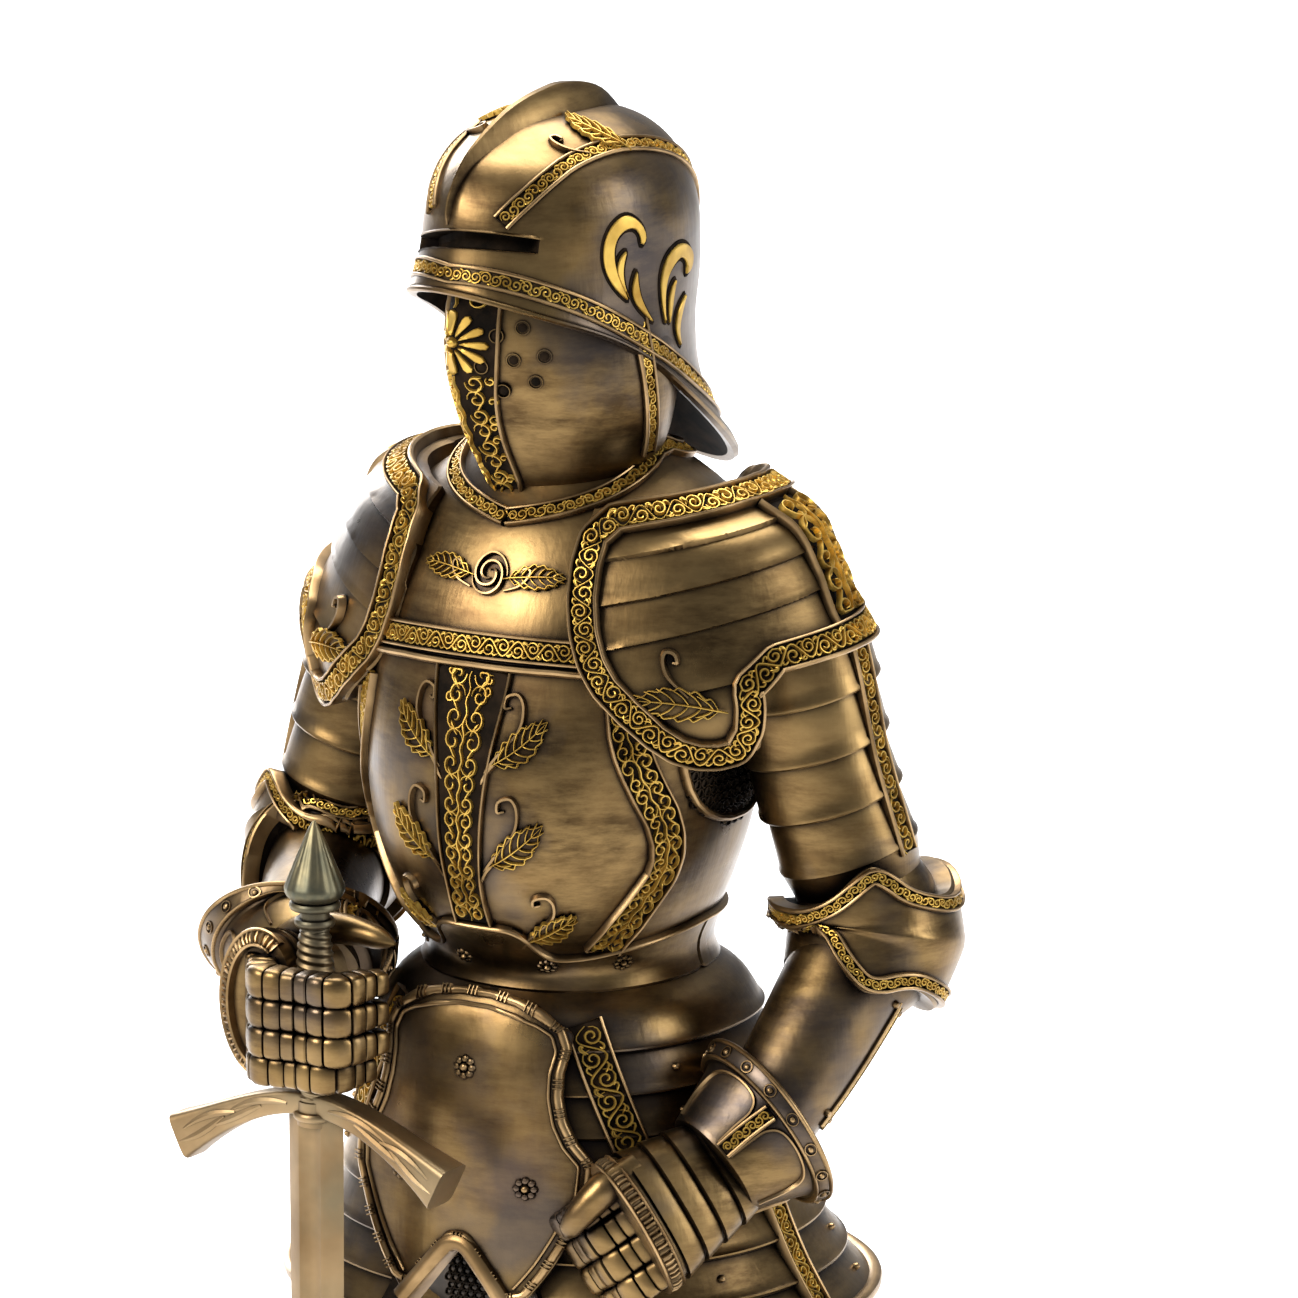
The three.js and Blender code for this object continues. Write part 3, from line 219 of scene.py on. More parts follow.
def limb(stops):
    """A form whose sections stand across the path of its stops"""
    rear = np.array([0.0, 1.0, 0.0])
    rows = []
    for index, (at, centre, reach, *shape) in enumerate(stops):
        shape = dict(*shape)
        before = np.array(stops[max(index - 1, 0)][1], float)
        after = np.array(stops[min(index + 1, len(stops) - 1)][1], float)
        down = unit(shape.pop("down", after - before))
        back = unit(rear - down * float(rear @ down))
        rows.append(section(at, centre, reach, side=np.cross(down, back), back=back, **shape))
    return Form(rows)


# Meshes are gathered as closed shells, each face with its finish
class Heap:
    def __init__(self):
        self.points, self.faces, self.finishes, self.count = [], [], [], 0

    def add(self, points, blocks, finish):
        """Each block is an array of faces with equally many corners; the finish is one or one a face"""
        self.points.append(np.asarray(points, float).reshape(-1, 3))
        self.faces += [np.asarray(block, np.int64) + self.count for block in blocks]
        self.finishes.append(np.broadcast_to(finish, sum(len(block) for block in blocks)))
        self.count += len(self.points[-1])

    def mesh(self, name):
        """One mesh of all the shells, with only the materials that it uses"""
        mesh = bpy.data.meshes.new(name)
        points = np.concatenate(self.points) + [0, FIGURE_SETBACK, PLINTH_HEIGHT]
        loops = np.concatenate([block.ravel() for block in self.faces])
        sizes = np.concatenate([np.full(len(block), block.shape[1]) for block in self.faces])
        mesh.vertices.add(len(points))
        mesh.vertices.foreach_set("co", (points * MM).ravel())
        mesh.loops.add(len(loops))
        mesh.loops.foreach_set("vertex_index", loops)
        mesh.polygons.add(len(sizes))
        mesh.polygons.foreach_set("loop_start", np.concatenate([[0], np.cumsum(sizes)[:-1]]))
        used, indices = np.unique(np.concatenate(self.finishes), return_inverse=True)
        for kind in used:
            mesh.materials.append(materials[kind])
        mesh.polygons.foreach_set("material_index", indices)
        mesh.update(calc_edges=True)
        mesh.validate()
        return mesh


def net(rows, columns, closed=False):
    """The quads of a grid of points whose columns run round, and its rows too where it is closed"""
    row = np.arange(rows if closed else rows - 1)[:, None]
    column = np.arange(columns)[None, :]
    beside = (column + 1) % columns
    here, ahead = row * columns, (row + 1) % rows * columns
    return np.stack([here + column, here + beside, ahead + beside, ahead + column], axis=-1).reshape(-1, 4)


def fan(ring, centre):
    ring = np.asarray(ring)
    return np.stack([ring, np.roll(ring, -1), np.full(len(ring), centre)], axis=1)


def rings(heap, grid, finish=PLATE, last_cap=None):
    """A closed shell through rings of points. The finish is one, or one a column, or one a face; the
    last cap has the last face's unless it has its own."""
    grid = np.asarray(grid)
    rows, columns = grid.shape[:2]
    points = np.concatenate([grid.reshape(-1, 3), [grid[0].mean(axis=0)], [grid[-1].mean(axis=0)]])
    first = fan(np.arange(columns), rows * columns)
    last = fan((rows - 1) * columns + np.arange(columns), rows * columns + 1)
    kinds = np.broadcast_to(finish, (rows - 1, columns)).ravel()
    ends = np.repeat([kinds[0], kinds[-1] if last_cap is None else last_cap], columns)
    heap.add(points, [net(rows, columns), first, last], np.concatenate([kinds, ends]))


def skin(heap, form, rows, columns, finish=PLATE):
    """The whole round of a form through rows of (place, lift)"""
    rows = np.array(rows, float)
    degrees = np.arange(columns) * 360 / columns
    turns, places = np.meshgrid((degrees + 180) % 360 - 180, rows[:, 0])
    rings(heap, form.points(turns, places, rows[:, 1:2]), finish)


def softened(line, rounds=2, closed=False):
    """Cuts a line's corners"""
    line = np.asarray(line, float)
    for _ in range(rounds):
        after = np.roll(line, -1, axis=0) if closed else line[1:]
        here = line if closed else line[:-1]
        cut = np.stack([0.75 * here + 0.25 * after, 0.25 * here + 0.75 * after], axis=1)
        cut = cut.reshape(-1, line.shape[1])
        line = cut if closed else np.concatenate([line[:1], cut[1:-1], line[-1:]])
    return line


def flowing(line, count):
    """A smooth line through all its stops"""
    line = np.asarray(line, float)
    full = np.concatenate([[2 * line[0] - line[1]], line, [2 * line[-1] - line[-2]]])
    u = np.linspace(0, len(line) - 1, count)
    k = np.minimum(u.astype(int), len(line) - 2)
    t = (u - k)[:, None]
    p0, p1, p2, p3 = full[k], full[k + 1], full[k + 2], full[k + 3]
    second, third = 2 * p0 - 5 * p1 + 4 * p2 - p3, 3 * p1 - p0 - 3 * p2 + p3
    return 0.5 * (2 * p1 + (p2 - p0) * t + second * t**2 + third * t**3)


class Track:
    """A line laid on a form and walked in millimetres, with room on both sides"""

    def __init__(self, form, line, closed=False):
        self.form, self.closed = form, closed
        line = np.asarray(line, float)
        if closed:
            line = np.concatenate([line, line[:1]])
        pieces = [np.linspace(a, b, 24, endpoint=False) for a, b in zip(line[:-1], line[1:])]
        dense = np.concatenate([*pieces, line[-1:]])
        walked = walk(form.frame(dense[:, 0], dense[:, 1])[0])
        self.length = walked[-1]
        count = max(3, int(round(self.length / TRACK_STEP)) + 1)
        self.at = np.linspace(0, self.length, count)
        self.line = np.stack([np.interp(self.at, walked, dense[:, k]) for k in (0, 1)], axis=1)
        points, normals = form.frame(self.line[:, 0], self.line[:, 1])
        if closed:
            ahead = np.roll(points[:-1], -1, axis=0) - np.roll(points[:-1], 1, axis=0)
            ahead = np.concatenate([ahead, ahead[:1]])
        else:
            ahead = np.gradient(points, axis=0)
        self.across = form.moves(self.line, units(np.cross(ahead, normals)))

    def spots(self, s, t):
        """Spots at s millimetres along and t to the right"""
        s, t = np.broadcast_arrays(np.asarray(s, float), np.asarray(t, float))
        if self.closed:
            s = np.mod(s, self.length)
        here = np.stack([np.interp(s, self.at, self.line[:, k]) for k in (0, 1)], axis=-1)
        side = np.stack([np.interp(s, self.at, self.across[:, k]) for k in (0, 1)], axis=-1)
        return here + side * t[..., None]


def ribbon(heap, track, profile):
    """Sweeps a profile of (t, lift, finish up to the next) along a track, closed underneath"""
    across, lifts, kinds = (np.array(column) for column in zip(*profile))
    count = max(3, int(track.length / TRACK_STEP) + 1)
    s = np.linspace(0, track.length, count, endpoint=not track.closed)
    points = track.form.lifted(track.spots(s[:, None], across), lifts)
    if track.closed:
        heap.add(points, [net(count, len(profile), closed=True)], np.tile(kinds, count))
    else:
        rings(heap, points, kinds, last_cap=kinds[0])


WIRE = np.array([(-0.5, 0.0), (-0.2, 1.0), (0.2, 1.0), (0.5, 0.0)])


def strokes(heap, form, lines, width, low, high, finish=GILT, taper=0.35):
    """Raised lines on a form, each an array of spots, thinner at both ends"""
    sizes = [len(line) for line in lines]
    joined = np.concatenate(lines)
    points, normals = form.frame(joined[:, 0], joined[:, 1])
    start = 0
    for size in sizes:
        p, n = points[start:start + size], normals[start:start + size]
        start += size
        across = units(np.cross(np.gradient(p, axis=0), n))
        u = np.linspace(0, 1, size)
        thick = taper + (1 - taper) * np.minimum(1, 5 * np.minimum(u, 1 - u))
        side = (WIRE[None, :, 0] * (width * thick)[:, None])[..., None] * across[:, None, :]
        lift = low + (high - low) * WIRE[None, :, 1] * (0.4 + 0.6 * thick)[:, None]
        grid = p[:, None, :] + side + lift[..., None] * n[:, None, :]
        corners = len(WIRE)
        last = size * corners - 1
        ends = np.array([range(corners), range(last, last - corners, -1)])
        heap.add(grid, [net(size, corners), ends], finish)


def dome(heap, form, spot, radius, low, high, finish=BRASS, sides=10):
    """A rivet's head"""
    board = form.place(spot)
    turn = round_turn(sides)
    rim = np.stack([np.cos(turn), np.sin(turn)], axis=1) * radius
    steps = ((1.0, 0.0), (0.92, 0.5), (0.6, 0.88), (0.2, 1.0))
    rings(heap, [form.lifted(board(rim * share), low + (high - low) * rise) for share, rise in steps], finish)


def turning(outline):
    """1 for a flat outline that goes round to the left, and -1 for one to the right"""
    after = np.roll(outline, -1, axis=0)
    return np.sign(np.sum(outline[:, 0] * after[:, 1] - after[:, 0] * outline[:, 1]))


def grown(outline, distance):
    """A flat closed outline moved outwards"""
    ahead = np.roll(outline, -1, axis=0) - np.roll(outline, 1, axis=0)
    return outline + units(np.stack([ahead[:, 1], -ahead[:, 0]], axis=1)) * turning(outline) * distance


def patch(heap, form, outline, lift, low, spacing, finish=PLATE, extra=(), edge=0.35):
    """A plate inside an outline of spots. `lift` is a number or a function of spots; the rim is
    rounded over `edge` millimetres; `extra` are further spots that the surface passes through."""
    outline = np.asarray(outline, float)
    scale = form.scale(outline)
    loop = np.concatenate([outline, outline[:1]]) * scale
    walked = walk(loop)
    n = max(12, int(walked[-1] / spacing))
    s = np.linspace(0, walked[-1], n, endpoint=False)
    rim = np.stack([np.interp(s, walked, loop[:, k]) for k in (0, 1)], axis=1)
    (left, down), (right, up) = rim.min(axis=0), rim.max(axis=0)
    columns, rows = np.arange(left, right, spacing), np.arange(down, up, spacing * ROW_SHARE)
    grid = np.array([(x + (spacing / 2 if j % 2 else 0), y) for j, y in enumerate(rows) for x in columns])
    points = [rim, grown(rim, -edge), grid[inside(grid, grown(rim, -edge - 0.45 * spacing))]]
    if len(extra):
        more = np.asarray(extra, float) * scale
        points.append(more[inside(more, grown(rim, -edge - 0.1))])
    around = [(k, (k + 1) % n) for k in range(n)]
    given = [Vector(p) for p in np.concatenate(points)]
    cut, _, faces, origins, _, _ = delaunay_2d_cdt(given, around, [], 1, 1e-5)
    faces = np.array([face for face in faces if len(face) == 3])
    on_rim = np.array([bool(origin) and min(origin) < n for origin in origins])
    spots = np.array([tuple(p) for p in cut]) / scale
    tops = lift(spots) if callable(lift) else np.full(len(spots), lift)
    upper = form.lifted(spots, np.where(on_rim, tops - edge, tops))
    free = {}
    for a, b, c in faces:
        for start, stop in ((a, b), (b, c), (c, a)):
            if not free.pop((stop, start), False):
                free[start, stop] = True
    m = len(spots)
    walls = np.array([(stop, start, start + m, stop + m) for start, stop in free])
    heap.add([upper, form.lifted(spots, low)], [faces, faces[:, ::-1] + m, walls], finish)


def inside(points, outline):
    """Which points lie inside a closed outline"""
    x, y = points[:, 0][:, None], points[:, 1][:, None]
    a, b = outline, np.roll(outline, -1, axis=0)
    crosses = (a[:, 1] > y) != (b[:, 1] > y)
    slope = (b[:, 0] - a[:, 0]) / np.where(b[:, 1] == a[:, 1], 1e-12, b[:, 1] - a[:, 1])
    return (crosses & (x < slope * (y - a[:, 1]) + a[:, 0])).sum(axis=1) % 2 == 1


def level_section(height, reach, power=2.2):
    return section(height, (0, 0, height), reach, power=power)


# The figure's forms, the same as the solids'
torso = Form([
    level_section(194, (26, 28, 22)),
    level_section(203, (21.5, 24, 18)),
    level_section(212, (25, 31, 20)),
    level_section(224, (29, 35, 22)),
    level_section(238, (31, 34.5, 24)),
    level_section(252, (32, 31, 25)),
    level_section(264, (31, 27, 25)),
    level_section(274, (26, 21, 22), 2.1),
    level_section(282, (16, 14, 15), 2.0),
    level_section(289, (11, 11, 12), 2.0),
])

HEAD_TURN = math.radians(10)
HEAD_CENTRE = (-0.6, -3)
BEVOR_TURN = math.radians(24)
BEVOR_CENTRE = (2, -3.3)
HEAD_BACK = (math.sin(HEAD_TURN), math.cos(HEAD_TURN))
HEAD_SIDE = (math.cos(HEAD_TURN), -math.sin(HEAD_TURN), 0)


def head_section(at, height, reach, slope, keel=0.0, taper=0.0):
    back = (*HEAD_BACK, -slope)
    return section(at, (*HEAD_CENTRE, height), reach, HEAD_SIDE, back, keel=keel, taper=taper)


sallet = Form([
    head_section(-1, 292, (21.6, 28.2, 41), 0.59, taper=0.3),
    head_section(0, 295.4, (21.4, 27.6, 39), 0.576, taper=0.3),
    head_section(1, 298.6, (20.4, 27, 32.5), 0.54, taper=0.26),
    head_section(2, 302.5, (19.6, 26, 27), 0.5, 0.4, taper=0.18),
    head_section(3.5, 309, (19.2, 24.8, 24), 0.42, 0.8, taper=0.06),
    head_section(5, 316, (19.2, 23.6, 24.6), 0.3, 1.4),
    head_section(6.5, 323, (18.8, 21.6, 24.4), 0.16, 2),
    head_section(8, 329, (16.4, 18.2, 21), 0.06, 2.2),
    head_section(9, 333, (12.2, 13.4, 15.6), 0, 2),
    head_section(9.7, 335.4, (6.5, 8.4, 9), 0, 1),
    head_section(10, 336, (1.6, 1.6, 2), 0),
])


def bevor_section(height, reach, keel):
    back = (math.sin(BEVOR_TURN), math.cos(BEVOR_TURN), 0)
    return section(height, (*BEVOR_CENTRE, height), reach, (back[1], -back[0], 0), back, 1.9, keel)


bevor = Form([
    bevor_section(274, (9, 11, 9), 1.6),
    bevor_section(280, (13, 13.8, 12.8), 2.4),
    bevor_section(288, (16.4, 17.2, 15), 2.8),
    bevor_section(298, (17.6, 19.8, 16), 3),
    bevor_section(308, (15.8, 19.8, 14.6), 2.6),
    bevor_section(320, (12.5, 17, 12.5), 0),
])


def pauldron_form(hand, place, turn):
    x, y, lift = place
    back = (math.sin(math.radians(turn)), math.cos(math.radians(turn)))

    def level(at, height, reach, rise):
        side = (back[1], -back[0], hand * rise)
        return section(at, (x, y, height + lift), reach, side, (*back, rise * 0.4), 1.95)

    return Form([
        level(0, 282.2, (3, 3, 3), 0),
        level(1, 281.2, (14, 11, 10), 0),
        level(2.5, 279.4, (22, 18, 16.5), 0.03),
        level(5, 275.4, (27.5, 22.5, 20), 0.08),
        level(9, 270, (32.2, 25.5, 22.5), 0.14),
        level(15, 262.4, (35.2, 27.5, 24), 0.18),
        level(22, 254.4, (38.4, 28.4, 25), 0.2),
        level(28, 248, (42.2, 28.8, 25.5), 0.2),
        level(34, 242, (41, 28.6, 25.5), 0.2),
        level(42, 234, (38, 27.6, 25), 0.2),
    ])


left_pauldron = pauldron_form(1, (10, -3.5, -0.6), 0)
right_pauldron = pauldron_form(-1, (-5, 0, -2), 9)

left_upper_arm = limb([
    (0, (34.5, 2, 264), (12.6, 12.6, 12.6)),
    (14, (38, 3.5, 250), (12, 12.2, 12)),
    (28, (40.6, 5.5, 236), (11.2, 11.4, 11.2)),
    (42, (44.2, 8, 222), (10.6, 11, 10.6)),
    (54, (47.4, 10, 210), (10.2, 10.6, 10.4)),
])
left_forearm = limb([
    (0, (48, 10, 208), (10, 10.4, 10.4)),
    (14, (46.4, 1.5, 198.5), (9.6, 9.4, 9.6)),
    (28, (44, -7.5, 188.5), (8.8, 8.4, 8.8)),
    (42, (40.5, -17, 178), (7.6, 7, 7.6)),
])
left_elbow = limb([
    (0, (45, 7.8, 222), (11.4, 11.8, 11.4)),
    (8, (46.6, 9.2, 214), (13, 13.2, 13)),
    (15, (47.4, 9.4, 207.5), (14, 13.6, 14)),
    (22, (46.6, 5.4, 201.6), (13.4, 12.8, 13.4)),
    (30, (44.8, -0.6, 196.4), (11.8, 11, 12)),
])
right_upper_arm = limb([
    (0, (-32, 6, 262), (13, 13, 13)),
    (14, (-35.5, 6, 249), (12.6, 12.6, 12.6)),
    (28, (-39.5, 5.5, 235.5), (12, 12.2, 12)),
    (42, (-43, 4.6, 222), (11.2, 11.6, 11.2)),
    (54, (-45.6, 4, 212), (10.2, 10.6, 10.4)),
])
right_forearm = limb([
    (0, (-45.6, 4, 210), (10, 10.4, 10.4)),
    (16, (-41, -10, 206), (9.4, 9.4, 9.4)),
    (32, (-34, -24.5, 202), (8.4, 8.4, 8.4)),
    (44, (-27, -36, 199), (7.6, 7, 7.6)),
])
right_elbow = limb([
    (0, (-43.6, 4.4, 222), (11.6, 12, 11.6)),
    (8, (-45.2, 4, 214), (12.8, 13, 12.8)),
    (15, (-45.6, 2.4, 209.4), (13.4, 13, 13.4)),
    (22, (-43, -3.4, 207.2), (13, 12.4, 13.2)),
    (30, (-40, -9.4, 205.4), (11.8, 11, 12)),
])
skirt = Form([
    level_section(138, (51, 36.5, 48)),
    level_section(143, (48, 35.5, 45)),
    level_section(149, (44, 34.5, 40.5)),
    level_section(156, (40, 33.5, 36)),
    level_section(165, (36.5, 33, 32.5)),
    level_section(175, (34, 32.5, 30)),
    level_section(186, (31, 31.5, 27)),
    level_section(196, (27.5, 29, 24)),
    level_section(200, (24.5, 26.5, 21.5)),
])


# Ornament
def mirrored(line):
    """A line's spots and their mirror images, as one closed outline"""
    return [*line, *[(-d, a) for d, a in reversed(line) if d != 0]]


def other_side(line):
    """A line's mirror image, walked the other way"""
    return [(-d, a) for d, a in reversed(line)]


def handed(hand, line):
    """A line of spots written for the knight's left, on the side of `hand`"""
    return [(hand * degrees, place) for degrees, place in line]


def spiral(centre, radius, start, turns, count=20, hold=0.3):
    """A curl in flat millimetres that holds its radius at first and then winds in"""
    u = np.linspace(0, 1, count)
    angle = math.radians(start) + 2 * math.pi * turns * u
    reach = radius * (1 - 0.8 * np.maximum(0, (u - hold) / (1 - hold)) ** 0.85)
    return np.stack([centre[0] + reach * np.cos(angle), centre[1] + reach * np.sin(angle)], axis=1)


def scroll(track, width, start, stop, seed):
    """A running scroll along a track: curls to either side, with small hooks between them. A wide one
    has a wavy stem and tendrils too."""
    draw = random.Random(seed)
    wide = width > 2.8
    radius = (0.34 if wide else 0.46) * width
    count = max(1, round((stop - start) / ((2.3 if wide else 1.72) * radius)))
    pitch = (stop - start) / count
    hook = flowing([(-0.5, 0.5), (-0.2, 0.8), (0.15, 1.0), (0.5, 0.86)], 7)
    tendril = flowing([(-0.5, 0.75), (0.1, 1.2), (0.45, 1.0), (0.2, 0.75)], 8)
    lines = []
    if wide:
        along = np.linspace(start, stop, 6 * count + 1)
        wave = 0.4 * width * np.sin(np.pi * (along - start) / pitch)
        lines.append(np.stack([along, wave], axis=1))
    for k in range(count):
        side = 1 if k % 2 else -1
        middle = start + (k + 0.5) * pitch
        reach = radius * draw.uniform(0.9, 1.06)
        curl = spiral((0, 0), reach, 180, -draw.uniform(1.3, 1.7), hold=0.15)
        offset = side * 0.1 * width if wide else draw.uniform(-0.05, 0.05) * width
        lines.append(curl * [1, side] + [middle, offset])
        corner = [middle + 0.5 * pitch, 0]
        lines.append(hook * [radius * draw.choice((-1, 1)), -side * radius] + corner)
        for hand in (1, -1) if wide else ():
            lines.append(tendril * [radius * draw.choice((-1, 1)), hand * radius] + corner)
    return [track.spots(line[:, 0], line[:, 1]) for line in lines]


def vine(track, half_widths, seed, largest=1.8):
    """Pairs of curls that branch from a wavy stem along the middle of a strip, whose half widths are
    given at even steps"""
    draw = random.Random(seed)
    stem_s = np.linspace(0, track.length, max(8, int(track.length / 0.8)))
    lines = [np.stack([stem_s, 0.22 * np.sin(stem_s * 1.7)], axis=1)]
    s, turned = 0.2, 1
    while s < track.length - 0.8:
        half = np.interp(s / track.length, np.linspace(0, 1, len(half_widths)), half_widths)
        radius = min(0.5 * half, largest) * draw.uniform(0.92, 1.04)
        outer = half - 1.1 * radius
        for hand in (1, -1):
            curl = spiral((0, 0), radius, -90 * hand, turned * hand * draw.uniform(1.15, 1.4), 18, 0.2)
            lines.append(curl + [s + radius, hand * max(radius, 0.5 * (radius + outer))])
            if outer > 1.6 * radius:
                small = spiral((0, 0), 0.5 * radius, draw.uniform(0, 360), -hand * 1.1, 10)
                lines.append(small + [s + radius * draw.uniform(0.3, 1.7), hand * (half - 0.55 * radius)])
            hook = flowing([(-0.5, 0.1), (0.1, 0.5), (0.6, 0.9)], 6) * [radius, hand * radius]
            lines.append(hook + [s + 2 * radius, 0.6 * hand * (half - radius)])
        s += 1.95 * radius
        turned = -turned
    return [track.spots(line[:, 0], line[:, 1]) for line in lines]


WIRE_WIDTH = 0.45
LEAF_WIRE = 0.32
# Half of a border's section, as (distance in from its edge, share of its rise)
RIDGE = ((0.0, 0.62), (0.16, 0.92), (0.34, 1.0), (0.52, 0.9), (0.64, 0.1))


def border(heap, form, line, width, base, low=-0.6, seed=None, rise=1.0):
    """A band between two raised ridges, with scrollwork on its dark ground if it has a seed"""
    track = line if isinstance(line, Track) else Track(form, line)
    half = width / 2
    profile = [(-half, low, BRASS)]
    profile += [(-half + across, base + rise * up, BRASS) for across, up in RIDGE]
    profile[-1] = (*profile[-1][:2], GROUND_AND_PAINTED_SHADE)
    profile += [(half - across, base + rise * up, BRASS) for across, up in reversed(RIDGE)]
    profile += [(half, low, GROUND_AND_PAINTED_SHADE)]
    ribbon(heap, track, profile)
    if seed is not None:
        inner = width - 2 * RIDGE[-1][0]
        inset = 0 if track.closed else 0.4
        lines = scroll(track, inner, inset, track.length - inset, seed)
        strokes(heap, form, lines, WIRE_WIDTH, base, base + 0.7 * rise)


def roll(heap, form, line, width, height, low=-0.6, base=0.0, finish=BRASS, closed=False):
    """A rounded bead along a line"""
    track = line if isinstance(line, Track) else Track(form, line, closed)
    turn = np.linspace(0, math.pi, 7)
    profile = [(-width / 2, low, finish)]
    profile += [(-math.cos(a) * width / 2, base + math.sin(a) * height, finish) for a in turn]
    profile += [(width / 2, low, finish)]
    ribbon(heap, track, profile)


LEAF_EDGE = np.array([
    (0, 0), (0.28, 0.1), (0.25, 0.17), (0.44, 0.27), (0.36, 0.34), (0.5, 0.45), (0.4, 0.51),
    (0.46, 0.62), (0.32, 0.68), (0.33, 0.79), (0.18, 0.84), (0, 1),
])
LEAF_VEINS = ((0.06, 0.3), (0.2, 0.42), (0.35, 0.44), (0.5, 0.4), (0.64, 0.3), (0.76, 0.18))


def leaf(heap, form, spot, heading, length, width, upward=1.0, bend=0.0, base=0.0, low=-0.5):
    """A leaf with a toothed gilt edge and gilt veins on a raised patch of plate"""
    board = form.place(spot, heading, upward)

    def at(points):
        points = np.asarray(points, float)
        x = points[..., 0] * width + bend * length * points[..., 1] ** 2
        return board(np.stack([x, points[..., 1] * length], axis=-1))

    outline = np.concatenate([LEAF_EDGE, LEAF_EDGE[-2:0:-1] * [-1, 1]])
    patch(heap, form, at(outline), base + 0.4, base + low, 0.9, PLATE, edge=0.15)
    lines = [at(flowing(LEAF_EDGE * [side * 0.97, 1], 34)) for side in (1, -1)]
    lines.append(at(flowing([(0, -0.12), (0, 0.3), (0, 0.95)], 12)))
    for foot, reach in LEAF_VEINS:
        for side in (1, -1):
            vein = [(0, foot), (side * reach * 0.55, foot + 0.08), (side * reach, foot + 0.2)]
            lines.append(at(flowing(vein, 7)))
    strokes(heap, form, lines, LEAF_WIRE, base + 0.3, base + 1.0)


def stem(heap, form, spot, heading, length, curl, upward=1.0, base=0.0, width=0.95):
    """A thick stem that ends in a hooked curl"""
    line = [(0, 0), (-0.1, 0.5), (0.06, 0.86), (0.3, 1.0), (0.5, 0.86), (0.42, 0.68), (0.3, 0.74)]
    board = form.place(spot, heading, upward)
    spots = board(flowing(np.array(line) * [curl, length], 30))
    strokes(heap, form, [spots], width, base - 0.4, base + 0.85, BRASS, taper=0.6)


def rosette(heap, form, spot, radius, base):
    """A ring of eight small domes round a higher one"""
    board = form.place(spot)
    for angle in round_turn(8):
        centre = board(np.array([math.cos(angle), math.sin(angle)]) * radius * 0.62)
        dome(heap, form, centre, radius * 0.34, base - 0.2, base + 0.5, PLATE, 8)
    dome(heap, form, spot, radius * 0.34, base - 0.2, base + 0.85, BRASS, 10)


def tube(heap, path, radii, sides, finish=PLATE, rear=(0, 1, 0), power=2.0):
    """A bar along points, with a radius at each; a power over 2 squares its section"""
    path = np.asarray(path, float)
    forward = units(np.gradient(path, axis=0))
    rear = np.asarray(rear, float)
    first = units(rear - forward * dots(forward, rear))
    second = np.cross(forward, first)
    turn = round_turn(sides)
    cosine, sine = squared(np.cos(turn), 2 / power), squared(np.sin(turn), 2 / power)
    spread = first[:, None, :] * cosine[None, :, None] + second[:, None, :] * sine[None, :, None]
    rings(heap, path[:, None, :] + spread * np.asarray(radii, float)[:, None, None], finish)


def lames(start, stop, count, tuck, flare):
    """Rows of (place, lift) for overlapping rings of plate, each with a small lip"""
    made = []
    length = (stop - start) / count
    for k in range(count):
        top = start + k * length
        made.append((top + 0.01 * length, tuck))
        made += [(top + u * length, tuck + (flare - tuck) * u**0.8) for u in np.linspace(0.06, 0.84, 5)]
        made += [(top + u * length, flare + lip) for u, lip in ((0.9, 0.16), (0.96, 0.2), (0.995, 0.0))]
    return made


ARMHOLE = ((66, 262), (62, 246), (68, 231), (88, 225), (110, 230), (118, 246), (112, 262))


